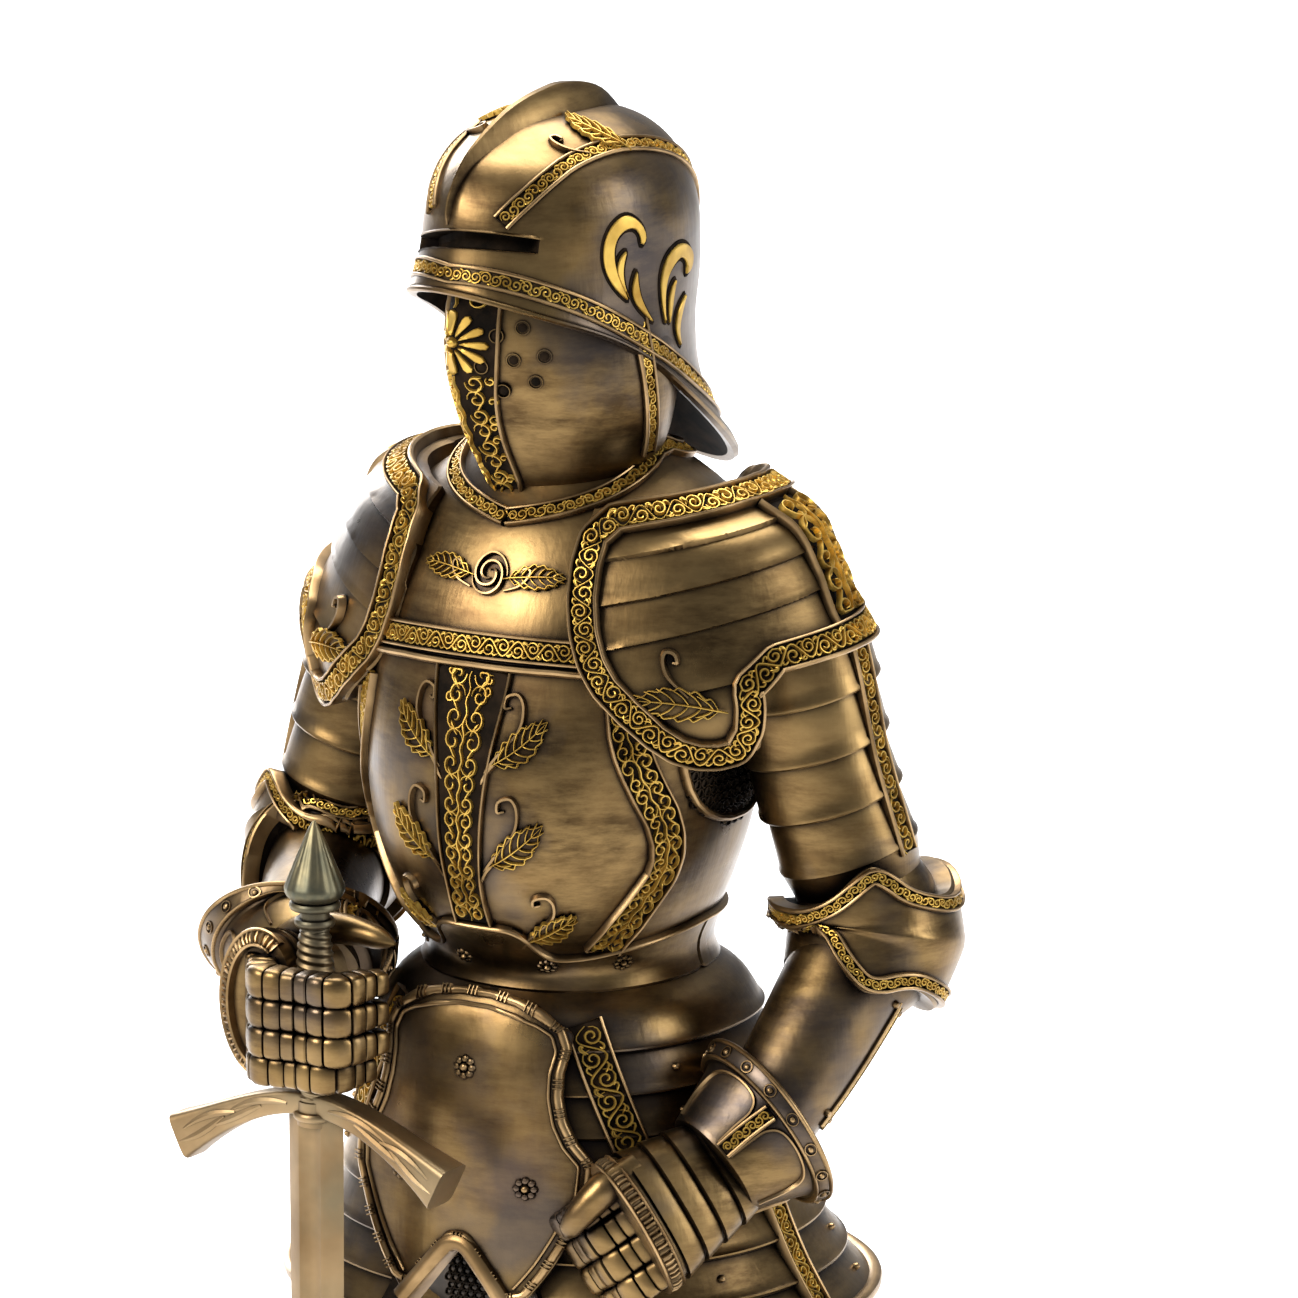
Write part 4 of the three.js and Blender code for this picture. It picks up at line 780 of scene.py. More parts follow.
def make_torso():
    heap = Heap()
    rows = [(194, -1)] + [(z, 0) for z in np.linspace(195, 286, 66)] + [(287, -1)]
    skin(heap, torso, rows, 132)
    # The upper breastplate and its gilt foot, with the rolled edge below it
    chest = Track(torso, softened([(-46, 254.4), (-22, 255.8), (0, 256.2), (22, 256.2), (46, 255.4)]))
    border(heap, torso, chest, 4.4, base=0.3, low=-1, seed=3)
    roll(heap, torso, [(-47, 251.4), (-22, 252.8), (0, 253.2), (22, 253.2), (47, 252.4)], 1.5, 1.5)
    # The strip down the middle: a dark ground between ridges, wider at the top
    half = [
        (0, 212), (5.6, 212), (4.8, 218), (5.4, 224), (6.0, 232), (6.8, 238), (9.4, 249), (9.8, 252.6),
        (0, 253),
    ]
    patch(heap, torso, mirrored(half), 0.45, -0.6, 1.4, GROUND_AND_PAINTED_SHADE)
    for hand in (1, -1):
        roll(heap, torso, softened(handed(hand, half[1:-1])), 0.6, 0.85, base=0.2)
    strip = Track(torso, [(0, 212.6), (0, 230), (0, 252.2)])
    strokes(heap, torso, vine(strip, (2.9, 2.6, 2.8, 3.1, 3.5, 4.5, 5.2), 5), WIRE_WIDTH, 0.4, 1.0)
    # Sprays of a leaf and a curled stem on both sides of it
    for degrees, height, length in ((5, 238.5, 17), (5, 222.5, 17), (13, 209.5, 14)):
        for hand in (1, -1):
            board = torso.place((hand * degrees, height))
            to_leaf, to_stem = (
                [board(flowing(handed(hand, line), 12))]
                for line in (((0, -3.4), (1.2, -1), (2.8, 0.8)), ((0.4, -1.6), (2.2, 1.0), (3.6, 2.8)))
            )
            leaf_foot, stem_foot = board([(hand * 2.4, 0.4), (hand * 3.6, 2.6)])
            strokes(heap, torso, to_leaf, 0.95, -0.4, 0.8, BRASS)
            leaf(heap, torso, leaf_foot, hand * 58, length * 0.62, 5.2, bend=-hand * 0.18)
            stem(heap, torso, stem_foot, hand * 24, length * 0.52, -hand * 7)
            strokes(heap, torso, to_stem, 0.95, -0.4, 0.8, BRASS)
    # The spiral and its two leaves high on the chest
    for hand in (1, -1):
        leaf(heap, torso, (hand * 5.6, 266.2), hand * 80, 9.8, 4.2, bend=hand * 0.1)
        stem(heap, torso, (hand * 4.4, 264.4), hand * 62, 5.4, -hand * 3.6, width=0.7)
    board = torso.place((0, 266.6))
    for start in (0, 180):
        strokes(heap, torso, [board(spiral((0, 0), 3.4, start, 1.3, 40, 0.2))], 0.8, -0.4, 0.9, BRASS)
    # The slanted bands at the flanks, outside them plain plate
    side = [(44, 248), (47, 240.5), (67, 223.5), (55, 213), (44, 207)]
    for index, line in enumerate((side, other_side(side))):
        track = Track(torso, softened(line))
        border(heap, torso, track, 6.6, base=0.2, low=-0.8)
        strokes(heap, torso, vine(track, (2.8, 2.8), 11 + index), WIRE_WIDTH, 0.2, 0.85)
    # The waist plate with its cusped upper edge
    edge = [(0, 211.6), (15, 211.6), (20, 206.6), (28, 205.4), (60, 207.4), (90, 208.8), (180, 209.4)]
    front = [*other_side(edge[1:-1]), *edge[:-1]]
    for line in (front, [(90, 208.8), (180, 209.4), (270, 208.8)]):
        foot = [(degrees, 199.6) for degrees in np.linspace(line[-1][0], line[0][0], 26)]
        patch(heap, torso, [*line, *foot], 0.8, -0.8, 1.6)
        roll(heap, torso, softened(line), 0.8, 0.5, base=0.7)
    for degrees in (-13, 21, -47, 52):
        rosette(heap, torso, (degrees, 204.4), 1.8, base=0.7)
    # The collar
    collar = [(0, 274.4), (30, 277.2), (60, 280.4), (92, 283.6), (115, 281), (150, 279.4), (180, 279)]
    for index, line in enumerate((collar, other_side(collar))):
        border(heap, torso, softened(line, 1), 3.2, base=0.2, low=-1.6, seed=21 + index, rise=0.9)
    # The armholes: mail behind a rolled edge
    for hand in (1, -1):
        hole = handed(hand, ARMHOLE)
        patch(heap, torso, softened(hole, 2, True), 0.25, -0.8, 1.6, MAIL)
        mail_rings(heap, torso, np.array(hole), 0.3)
        roll(heap, torso, softened(hole, 2), 1.6, 1.2)
    # The back plate: a ridge, a cross seam and two plain bands
    roll(heap, torso, [(180, 204), (180, 240), (180, 276)], 1.4, 0.7, finish=PLATE)
    roll(heap, torso, [(122, 252), (150, 250), (180, 247), (210, 250), (238, 252)], 1.2, 0.8)
    for hand in (1, -1):
        line = [(180 - hand * 12, 246), (180 - hand * 15, 228), (180 - hand * 26, 211)]
        border(heap, torso, softened(line), 3.0, base=0.1, seed=31 + hand, rise=0.8)
    return heap


MAIL_PITCH, MAIL_RADIUS = 2.2, 0.95


def mail_rings(heap, form, outline, base):
    """Rows of small linked rings over a patch of mail"""
    centre = outline.mean(axis=0)
    scale = form.scale(centre[None, :])
    flat = (outline - centre) * scale
    reach = np.abs(flat).max(axis=0)
    loop = circle(8, 1, 0.8) * MAIL_RADIUS
    lines = []
    for j, y in enumerate(np.arange(-reach[1], reach[1], MAIL_PITCH * 0.72)):
        for x in np.arange(-reach[0], reach[0], MAIL_PITCH):
            spot = np.array([x + (MAIL_PITCH / 2 if j % 2 else 0), y])
            if inside(spot[None, :], flat)[0]:
                lines.append(centre + (spot + loop) / scale)
    strokes(heap, form, lines, 0.34, base - 0.1, base + 0.34, MAIL, taper=1.0)


SLIT_LOW = [(-37, 2.7), (-20, 2.85), (0, 3.0), (20, 3.4), (37, 3.8)]
SLIT_HIGH = [(-37, 3.45), (-20, 3.65), (0, 3.98), (20, 4.3), (37, 4.5)]
SLIT_END = SLIT_LOW[-1][0]
# The helmet's inside, coloured near-black as painted shade under the brim, and its rolled brim, as (place,
# lift) from the inside out
HELMET_INSIDE = ((5.0, -4.0), (3.0, -3.0), (1.7, -2.1))
BRIM = (
    (0.2, -1.5), (-0.02, -0.9), (-0.02, -0.1), (0.1, 0.25), (0.3, 0.3), (0.46, 0.1), (0.5, -0.05), (0.62, 0),
)
HELMET_COLUMNS = 180


def edge_rise(degrees, place):
    """The helmet's lower edge rises over the cheeks"""
    return place + 0.9 * np.maximum(0, 1 - place / 1.6) * bell(np.abs(degrees), 72, 32)


def helmet_grid():
    """Places and lifts of the helmet's skin, with the slit's edges along its rows"""
    degrees = np.arange(HELMET_COLUMNS) * 360 / HELMET_COLUMNS - 180
    low = np.interp(degrees, *np.transpose(SLIT_LOW))
    high = np.interp(degrees, *np.transpose(SLIT_HIGH))
    open_here = np.abs(degrees) < SLIT_END + 1
    rows = [*HELMET_INSIDE, *[(edge_rise(degrees, place), lift) for place, lift in BRIM]]
    start = edge_rise(degrees, 0.7)
    rows += [(start + (low - start) * u, 0) for u in np.linspace(0, 0.97, 30)]
    # The slit: a rolled lip below, the gap, coloured near-black as painted shade, and the brow's edge above
    gap = len(rows) + 1
    rows += [(low - 0.03, 0.35 * open_here), (low, 0)]
    rows += [(low + 0.01, -2.6 * open_here), (0.5 * (low + high), -3 * open_here)]
    rows += [(high - 0.01, -2.6 * open_here), (high, 0.2 * open_here), (high + 0.06, 0.35 * open_here)]
    rows += [(high + 0.16, 0)]
    rows += [(high + 0.2 + (9.9 - high - 0.2) * u, 0) for u in np.linspace(0, 1, 52)]
    places, lifts = (np.array([np.broadcast_to(row[k], len(degrees)) for row in rows]) for k in (0, 1))
    finish = np.full((len(rows) - 1, len(degrees)), PLATE)
    # Painted shade: the slit's gap takes the near-black ground finish
    finish[gap:gap + 4] = np.where(open_here, GROUND_AND_PAINTED_SHADE, PLATE)
    # Painted shade: the helmet's inside takes the near-black ground finish
    finish[:len(HELMET_INSIDE)] = GROUND_AND_PAINTED_SHADE
    return degrees, places, lifts, finish


COMB_TURN = math.radians(4)
# The comb's front foot stands on the brow, above the slit
BROW = 321.4


def comb(heap):
    """The flat-sided fin along the top"""
    profile = flowing([
        (25.2, 321.6), (25.4, 323.8), (24.4, 327), (21.4, 331.4), (16.6, 335), (11.2, 337.9), (5, 339.6),
        (-1, 340), (-9, 337.6), (-18, 328),
    ], 60)
    turn = HEAD_TURN + COMB_TURN
    centre = np.array([*HEAD_CENTRE, 0.0])
    back = np.array([math.sin(turn), math.cos(turn), 0])
    side = np.array([back[1], -back[0], 0])
    grid = []
    for ahead, top in profile:
        fat = max(0.0, 1 - ((ahead - 1) / 21) ** 2)
        levels = (
            (-9, 0.8, 4.2), (-4.6, 0.87, 2.2 + 1.2 * fat), (-2.6, 0.92, 1.5 + 0.9 * fat),
            (-0.6, 0.975, 0.5 + 0.8 * fat), (0, 1, 0.16 + 0.44 * fat),
        )
        lowest = BROW - top if ahead > 21 else -9
        grid.append([
            centre + [0, 0, top + max(drop, lowest)] - back * ahead * share + side * hand * half
            for hand, order in ((-1, levels), (1, levels[::-1])) for drop, share, half in order
        ])
    rings(heap, grid)


FLAMES = (
    [
        (77, 2.8), (71, 3.05), (66.5, 3.5), (64, 4.1), (63.5, 4.9), (66.5, 5.8), (73.5, 6.3), (81.5, 5.95),
        (84.5, 5.4), (81, 5.0), (80.5, 5.45), (77.5, 5.7), (73, 5.6), (69.5, 5.2), (68.5, 4.55), (71, 3.7),
    ],
    [(75, 4.95), (71, 4.6), (69.5, 4.0), (72, 3.4), (77, 2.85), (73.8, 3.5), (73, 4.2)],
    [(79.5, 4.4), (76.5, 3.5), (77.5, 3.0), (81, 2.65), (89, 2.35), (83, 2.95), (80.5, 3.5)],
    [
        (95, 2.4), (92, 3.3), (91.5, 4.3), (96, 5.05), (106, 5.5), (116, 5.25), (115, 4.7), (109, 4.4),
        (110, 4.8), (105, 5.0), (99, 4.6), (95.5, 4.1), (94.5, 3.3),
    ],
    [(103, 4.4), (98.5, 4.0), (96.5, 3.4), (97, 2.5), (99.5, 3.2), (101, 3.8)],
    [(113, 4.1), (105, 3.5), (101.5, 2.9), (102, 2.3), (106, 2.0), (104.5, 2.6), (107, 3.2)],
)


def flame(heap, line):
    """A flat gilt flame in a dark outline"""
    scale = sallet.scale(np.array(line[:1], float))
    flat = (softened(line, closed=True) - line[0]) * scale
    patch(heap, sallet, line[0] + grown(flat, 0.4) / scale, 0.15, -0.6, 0.7, GROUND_AND_PAINTED_SHADE, edge=0.1)
    patch(heap, sallet, line[0] + grown(flat, -0.14) / scale, 0.55, -0.3, 0.6, GILT, edge=0.15)


def make_helmet():
    heap = Heap()
    degrees, places, lifts, finish = helmet_grid()
    rings(heap, sallet.points(degrees, places, lifts), finish)
    comb(heap)
    rim = [(0, 1.5), (20, 1.78), (40, 1.92), (62, 1.9), (90, 1.5), (120, 1.2), (150, 1.1), (180, 1.1)]
    rim = flowing(rim, 40)
    border(heap, sallet, [*other_side(rim[1:]), *rim], 3.3, base=-0.15, low=-1, seed=41, rise=0.72)
    crown = [
        (21, 5), (26, 6.1), (36, 7.6), (49, 8.5), (78, 8.9), (110, 8.6), (135, 7.8), (156, 6.4), (164, 4.6),
    ]
    for index, line in enumerate((crown, other_side(crown))):
        border(heap, sallet, softened(line), 3.2, base=-0.1, low=-1, seed=51 + index, rise=0.75)
    for hand in (1, -1):
        leaf(heap, sallet, (hand * 84, 8.7), -40 * hand, 10.5, 4.4, bend=-hand * 0.15)
        stem(heap, sallet, (hand * 60, 8.62), -70 * hand, 7, hand * 3, width=0.7)
        for line in FLAMES:
            flame(heap, handed(hand, line))
    return heap


BREATH_HOLES = ((35, 305.4), (23, 304), (44, 301.1), (30, 300.3), (39, 297), (15, 299), (24, 295.4))
PETAL = np.array([
    (0.1, 1.2), (0.5, 3.4), (0.68, 4.5), (0.35, 5.2), (-0.35, 5.2), (-0.68, 4.5), (-0.5, 3.4), (-0.1, 1.2),
])


def make_bevor():
    heap = Heap()
    rows = [(272, -1)] + [(z, 0) for z in np.linspace(274, 318, 60)] + [(319, -1)]
    skin(heap, bevor, rows, 150)
    # A near-black shell below the bevor: painted shade in the gap above the collar
    skin(heap, bevor, [(z, -1) for z in np.linspace(260, 276, 10)], 60, GROUND_AND_PAINTED_SHADE)
    half = [
        (0, 274.6), (14, 274.8), (21, 278.4), (19.5, 283), (18.5, 288), (19.5, 293), (22, 298), (24, 304),
        (25, 313), (0, 313),
    ]
    patch(heap, bevor, mirrored(half), 0.35, -0.8, 1.0, GROUND_AND_PAINTED_SHADE)
    for hand in (1, -1):
        roll(heap, bevor, softened(handed(hand, half[1:-1])), 0.75, 0.7, base=0.3)
    # A fan of petals below the sight, and scrollwork under it
    board = bevor.place((0, 302.3))
    for angle in np.arange(12) * math.pi / 6:
        sine, cosine = math.sin(angle), math.cos(angle)
        turned = [(x * cosine + y * sine, y * cosine - x * sine) for x, y in PETAL]
        patch(heap, bevor, board(turned), 0.95, 0.2, 0.9, GILT, edge=0.15)
    dome(heap, bevor, (0, 302.3), 0.9, 0.2, 1.15, GILT, 12)
    strip = Track(bevor, [(0, 276.6), (0, 286), (0, 297)])
    strokes(heap, bevor, vine(strip, (3.4, 4.8, 5.2, 6.0, 6.6), 7, 1.5), WIRE_WIDTH, 0.3, 0.9)
    strokes(heap, bevor, vine(Track(bevor, [(0, 307.6), (0, 312.6)]), (6.2, 6.2), 8), WIRE_WIDTH, 0.3, 0.9)
    # A breath hole is a near-black disc, painted shade standing in for the hole, in a thin ring, higher where
    # it lies on the strip
    for degrees, height in BREATH_HOLES:
        for spot in handed(1, [(degrees, height)]) + handed(-1, [(degrees, height)]):
            base = 0.35 if degrees < 25 else 0
            dome(heap, bevor, spot, 0.98, base - 0.4, base + 0.2, GROUND_AND_PAINTED_SHADE, 14)
            ring = bevor.place(spot)(circle(16) * 1.1)
            strokes(heap, bevor, [ring], 0.28, base - 0.2, base + 0.3, PLATE, taper=1)
    for hand in (1, -1):
        line = [(hand * 91, 306), (hand * 93.5, 298), (hand * 101, 288.4), (hand * 104, 284)]
        border(heap, bevor, softened(line), 2.8, base=0.1, low=-0.8, seed=61 + hand, rise=0.8)
    return heap


PAULDRON = [
    (16, 2.8), (40, 2.2), (90, 1.8), (126, 3), (152, 5), (166, 8), (169, 12), (168, 20),
    (158, 31), (145, 37), (126, 37.4), (124, 27), (92, 27), (55.5, 26),
    (58, 38), (42, 38.4), (30, 34.6), (18, 26), (12.4, 18), (11, 9),
]
# The edges of the shoulder's lames, from the neck down
LAME_STARTS = (2.6, 8.2, 13.2, 18.8, 26.6, 41)
LAME_BOWS = (1.0, 1.6, 1.2, 1.0, 0.0, 0.0)


def lame_lift(spots):
    """The rising lift of each lame down to its free edge"""
    sine = np.sin(np.radians(np.abs(spots[:, 0])))
    place = spots[:, 1]
    edges = np.array([start - bow * sine for start, bow in zip(LAME_STARTS, LAME_BOWS)])
    lift = np.full(len(spots), 0.3)
    for k in range(len(LAME_STARTS) - 1):
        u = (place - edges[k]) / (edges[k + 1] - edges[k])
        here = (u >= 0) & (u < 1)
        slope = 0.1 + 0.05 * k + 0.65 * np.clip(u, 0, 1) ** 0.7 + 0.2 * (u > 0.9)
        lift = np.where(here, slope, lift)
    return lift


def make_pauldron(form, hand):
    heap = Heap()
    outline = PAULDRON if hand > 0 else other_side(PAULDRON)
    # Spots close to both sides of each lame's edge keep it sharp
    extra = []
    degrees = np.linspace(12, 168, 110)
    for start, bow in list(zip(LAME_STARTS, LAME_BOWS))[1:-1]:
        for gap in (-0.14, 0.14):
            extra += handed(hand, zip(degrees, start - bow * np.sin(np.radians(degrees)) + gap))
    patch(heap, form, outline, lame_lift, -3, 1.1, PLATE, extra=extra)
    # The border: scrollwork between two ridges all the way round
    track = Track(form, softened(shrunk(form, outline, 2.3), 1, True), closed=True)
    border(heap, form, track, 4.8, base=1.25, low=-1.2, seed=71 + hand)
    # The band over the shoulder's outer side
    front = handed(hand, [(82, 4.4), (85, 8), (87, 15.6), (86, 24)])
    rear = handed(hand, [(112, 24), (112, 15.6), (111, 8), (110, 5)])
    patch(heap, form, [*front, *rear], lambda spots: lame_lift(spots) + 0.3, -1, 1.3, GROUND_AND_PAINTED_SHADE)
    for line in (front, rear):
        roll(heap, form, line, 0.8, 0.9, base=1.1)
    middle = Track(form, handed(hand, [(97, 5), (98.5, 13), (99, 23)]))
    strokes(heap, form, vine(middle, (4.8, 5.4, 5.8), 77 + hand, 2.2), WIRE_WIDTH, 1.3, 2.3)
    leaf(heap, form, (hand * 44.5, 29.6), hand * -66, 12, 5.2, -1, bend=-hand * 0.1, base=1.0, low=-1.5)
    stem(heap, form, (hand * 38, 27), hand * -24, 7.5, hand * 5, -1, base=1.1, width=1.1)
    leaf(heap, form, (hand * 138, 31.4), hand * 60, 10, 5.0, -1, base=1.0, low=-1.5)
    return heap


def shrunk(form, outline, distance):
    """An outline of spots moved inwards by some millimetres, with its corners kept"""
    outline = np.asarray(outline, float)
    scale = form.scale(outline)
    flat = outline * scale
    legs = units(np.roll(flat, -1, axis=0) - flat)
    after = np.stack([-legs[:, 1], legs[:, 0]], axis=1) * turning(flat)
    before = np.roll(after, 1, axis=0)
    middle = units(before + after)
    stretch = 1 / np.maximum(0.5, dots(middle, before))
    return (flat + middle * stretch * distance) / scale


# The elbow's plate: its top edge and then its foot
COUTER = [
    (-70, 5.5), (-30, 7.6), (2, 5.6), (36, 1.2), (50, 1.4), (68, 7.6), (98, 10), (150, 7), (200, 9),
    (200, 19), (150, 21), (84, 21.4), (62, 22.6), (42, 28), (19, 27), (0, 24), (-16, 15.6), (-34, 13),
    (-70, 18),
]


def bell(values, middle, spread):
    """A smooth hump of 1 at the middle"""
    return np.exp(-(((values - middle) / spread) ** 2))


def couter_lift(spots):
    """The elbow's plate has a ridge across its outer side"""
    degrees, place = np.abs(spots[:, 0]), spots[:, 1]
    return 1.1 + bell(place, 15, 1.4) * 0.7 * (bell(degrees, 70, 60) * bell(place, 15, 8))


def make_arm(upper, fore, elbow, hand):
    heap = Heap()
    rows = [(-2, -5), (0, -3), (4, -2.4), (8.6, -2), *lames(8.8, 44, 4, -0.4, 0.6), (50, -0.6)]
    skin(heap, upper, rows, 84)
    skin(heap, fore, [(-3, -2), *[(at, 0) for at in np.linspace(4, 40, 34)], (42, 0), (42.5, -1)], 84)
    skin(heap, elbow, [(4, -3), (8, -2), (12, -1.2), (15, -1), (18, -1.2), (21, -1.6), (27, -3)], 60)
    outline = COUTER if hand > 0 else other_side(COUTER)
    patch(heap, elbow, softened(outline, 2, True), couter_lift, -2.4, 0.95)
    track = Track(elbow, softened(shrunk(elbow, outline, 1.35), 2, True), closed=True)
    border(heap, elbow, track, 2.7, base=1.2, low=-0.5, seed=81 + hand, rise=0.95)
    # The scrolled strip down the lames of the upper arm
    strip = handed(hand, [(85, 9), (86, 24), (85, 45)])
    border(heap, upper, strip, 4.0, base=0.35, low=-0.8, seed=91 + hand, rise=0.9)
    # A thin gilt strip on the forearm, with a hinge at each end
    strip = handed(hand, [(100, 11), (100, 34)])
    border(heap, fore, strip, 2.3, base=0.05, seed=93 + hand, rise=0.5)
    for at in (12, 32):
        for degrees in (88, 112):
            dome(heap, fore, (hand * degrees, at), 0.7, -0.2, 0.7)
    return heap


def cuff_form(start, end, roundness, down):
    start, end = np.array(start, float), np.array(end, float)
    return limb([
        (0, start, np.array([9.6, 9.6, 9.6]) * roundness),
        (6, 0.6 * start + 0.4 * end, np.array([11.4, 11.2, 11.4]) * roundness),
        (15, end, np.array([14.6, 14.2, 14.6]) * roundness, {"down": unit(down)}),
    ])


right_cuff = cuff_form((-29, -33, 199), (-38, -21, 201), 1.04, (-0.3, 0.7, 0.6))
left_cuff = cuff_form((37, -21.5, 175), (42.6, -12, 181.5), 0.95, (0.46, 0.76, 0.46))


def make_cuff(heap, form, seed, middle):
    """The bell of a gauntlet: two arched panels beside a gilt strip, and a rim with rivets"""
    rows = [(0, -0.6), (0.4, -0.1), *[(at, 0) for at in np.linspace(1, 11, 26)], (11.6, 0.1), (12.0, 0.9)]
    rows += [(12.5, 1.2), (14.4, 1.3), (14.9, 1.25), (15.0, 0.6)]
    rows += [(15.0, -1.0), (14, -1.3), (11, -1.4), (9, -1.4)]
    skin(heap, form, rows, 110)
    for turned in (middle, middle + 180):
        border(heap, form, [(turned, place) for place in (0.8, 5, 11.2)], 2.9, base=0.0, seed=seed, rise=0.8)
        for hand in (1, -1):
            arch = [(9, 1.2), (9, 5), (9.5, 8.8), (18, 10.9), (40, 11.2), (60, 10), (70, 6), (72, 1.5)]
            line = flowing([(turned + hand * degrees, place) for degrees, place in arch], 44)
            strokes(heap, form, [line], 0.7, -0.2, 0.5, BRASS, taper=0.8)
    for k in range(16):
        spot = (middle + 11 + k * 22.5, 13.5)
        strokes(heap, form, [form.place(spot)(circle(13) * 0.95)], 0.3, 1.0, 1.5, BRASS, taper=1)
        dome(heap, form, spot, 0.6, 0.9, 1.75, BRASS, 8)
    for place, width, base in ((14.9, 0.9, 1.1), (12.2, 0.7, 0.9)):
        line = [(degrees, place) for degrees in np.linspace(-180, 175, 72)]
        roll(heap, form, line, width, 0.5, base=base, low=0.3, closed=True)


# A hand's wrist, the ways in which its back reaches, faces and rises, its palm's length, the fingers'
# bends and lengths, its knuckle band's tilt, its thumb as (point, radius) and the thumb's upright
# direction, and its cuff with the degrees of the gilt strip and the scrollwork's seed
RIGHT_HAND = dict(
    wrist=(-27.5, -37, 199), reach=unit((-0.1, -1, -0.02)), facing=unit((-1, 0.1, 0)), rise=(0, 0, 1),
    palm=9, bends=(42, 98, 160), lengths=(9, 12.5, 9), tilt=62, thumb_rear=(0, 0, 1), thumb=(
        ((-30, -36, 205.5), 3.4), ((-25, -38.5, 209), 2.8),
        ((-17, -40.2, 210.4), 2.4), ((-8.5, -41, 209.6), 1.5),
    ), cuff=right_cuff, strip=62, seed=123,
)
LEFT_HAND = dict(
    wrist=(39, -20, 175.5), reach=unit((-0.5, -0.72, -0.44)), facing=unit((0.62, -0.68, 0.4)),
    rise=unit((-0.55, -0.08, 0.83)), palm=16, bends=(35, 75, 120), lengths=(7, 7, 5), tilt=0,
    thumb_rear=(0, 1, 0), thumb=(
        ((30, -32.5, 178), 1.8), ((26.4, -36.4, 174), 2.8),
        ((23, -38.6, 169.6), 2.3), ((20.8, -39.2, 166), 1.4),
    ), cuff=left_cuff, strip=-4, seed=121,
)


FINGER_LAME = 2.5


def scaled_finger(heap, line, rear):
    """A finger of overlapping domed lames along a line of (point, radius)"""
    points, radii = (np.array(column, float) for column in zip(*line))
    walked = walk(points)
    smooth = flowing(points, 160)
    s = walk(smooth)
    count = max(3, int(round(s[-1] / FINGER_LAME)))
    path, reach = [], []
    for k in range(count):
        for u, swell in ((0.01, -0.4), (0.06, 0.02), (0.18, 0.14), (0.5, 0.18), (0.84, 0.16), (0.95, -0.02)):
            at = s[-1] * (k + u) / count
            path.append([np.interp(at, s, smooth[:, j]) for j in range(3)])
            reach.append(np.interp(at / s[-1] * walked[-1], walked, radii) + swell)
    tube(heap, path, reach, 20, rear=rear, power=4.2)


FLUTE_PITCH = 0.92


def knuckle_band(heap, spot, ahead, high, deep, tilt):
    """A band of fine flutes across the knuckles, between two thin edges"""
    turn = np.radians(np.linspace(-118, 118, 170))
    walked = np.cumsum(np.hypot(high * np.cos(turn), deep * np.sin(turn))) * (turn[1] - turn[0])
    tick = 0.24 * squared(np.cos(walked * 2 * math.pi / FLUTE_PITCH), 0.5)
    sine, cosine = math.sin(tilt), math.cos(tilt)
    profile = (
        (-1.5, -1.6, 0), (-1.5, 0.2, 0), (-1.25, 0.5, 0), (-0.95, 0.15, 0), (-0.85, 0.1, 1), (0, 0.3, 1),
        (0.85, 0.1, 1), (0.95, 0.15, 0), (1.25, 0.5, 0), (1.5, 0.2, 0), (1.5, -1.6, 0),
    )
    grid = []
    for angle, cut in zip(turn, tick):
        up, out = high * math.sin(angle), deep * math.cos(angle)
        away = units(np.array([math.sin(angle) / high, math.cos(angle) / deep]))
        ring = []
        for along, lift, fluted in profile:
            height = lift + cut * fluted
            off = height * cosine - along * sine
            ring.append(spot(ahead + along * cosine + height * sine, up + away[0] * off, out + away[1] * off))
        grid.append(ring)
    rings(heap, grid, BRASS)


def make_hand(spec):
    heap = Heap()
    make_cuff(heap, spec["cuff"], spec["seed"], spec["strip"])
    wrist, reach, facing, rise = (np.array(spec[key], float) for key in ("wrist", "reach", "facing", "rise"))
    palm = spec["palm"]

    def spot(ahead, up, out):
        return wrist + reach * ahead + rise * up + facing * out

    turn = round_turn(40)

    def ring(ahead, high, deep, out):
        across, outward = squared(np.cos(turn), 0.8) * high, squared(np.sin(turn), 0.8) * deep
        return wrist + reach * ahead + rise * across[:, None] + facing * (out + outward)[:, None]

    grid = [ring(-3, 7.4, 6, -0.5)]
    for k in range(4):
        start = -1 + k * palm / 4
        high = 8 + k * 0.7
        for u, grow in ((0.0, 0.0), (0.1, 0.35), (0.5, 0.8), (0.85, 1.15), (0.92, 1.2), (0.97, 0.6)):
            grid.append(ring(start + u * palm / 4, high + grow * 1.1, 5.4 + grow * 0.7, 0))
    grid += [ring(palm, 11, 6.2, 0), ring(palm + 2.5, 11, 6.2, -0.2), ring(palm + 2.8, 9.6, 4.4, -0.6)]
    rings(heap, grid)
    # A tilted band stands on the front of the palm's plates, and a flat one round them
    tilt = math.radians(spec["tilt"])
    lean = math.sin(tilt)
    knuckle_band(heap, spot, palm + 1.2 + 1.7 * lean, 11.3 - 0.5 * lean, 7.2 - 0.6 * lean, tilt)
    for finger in range(4):
        up = 6 - finger * 4.75
        at = spot(palm + 1, up, 1)
        line = [(at, 2.3)]
        for joint, (bend, length) in enumerate(zip(spec["bends"], spec["lengths"])):
            way = reach * math.cos(math.radians(bend)) - facing * math.sin(math.radians(bend))
            half = at + way * length * (0.9 if finger == 3 else 1) / 2
            at = 2 * half - at
            line += [(half, 2.25), (at, 1.6 if joint == 2 else 2.5)]
        scaled_finger(heap, line, rise)
    points, radii = zip(*spec["thumb"])
    radii = np.interp(np.linspace(0, 3, 26), np.arange(4), radii)
    radii[-3:] *= (0.85, 0.6, 0.2)
    tube(heap, flowing(points, 26), radii, 14, rear=spec["thumb_rear"])
    return heap


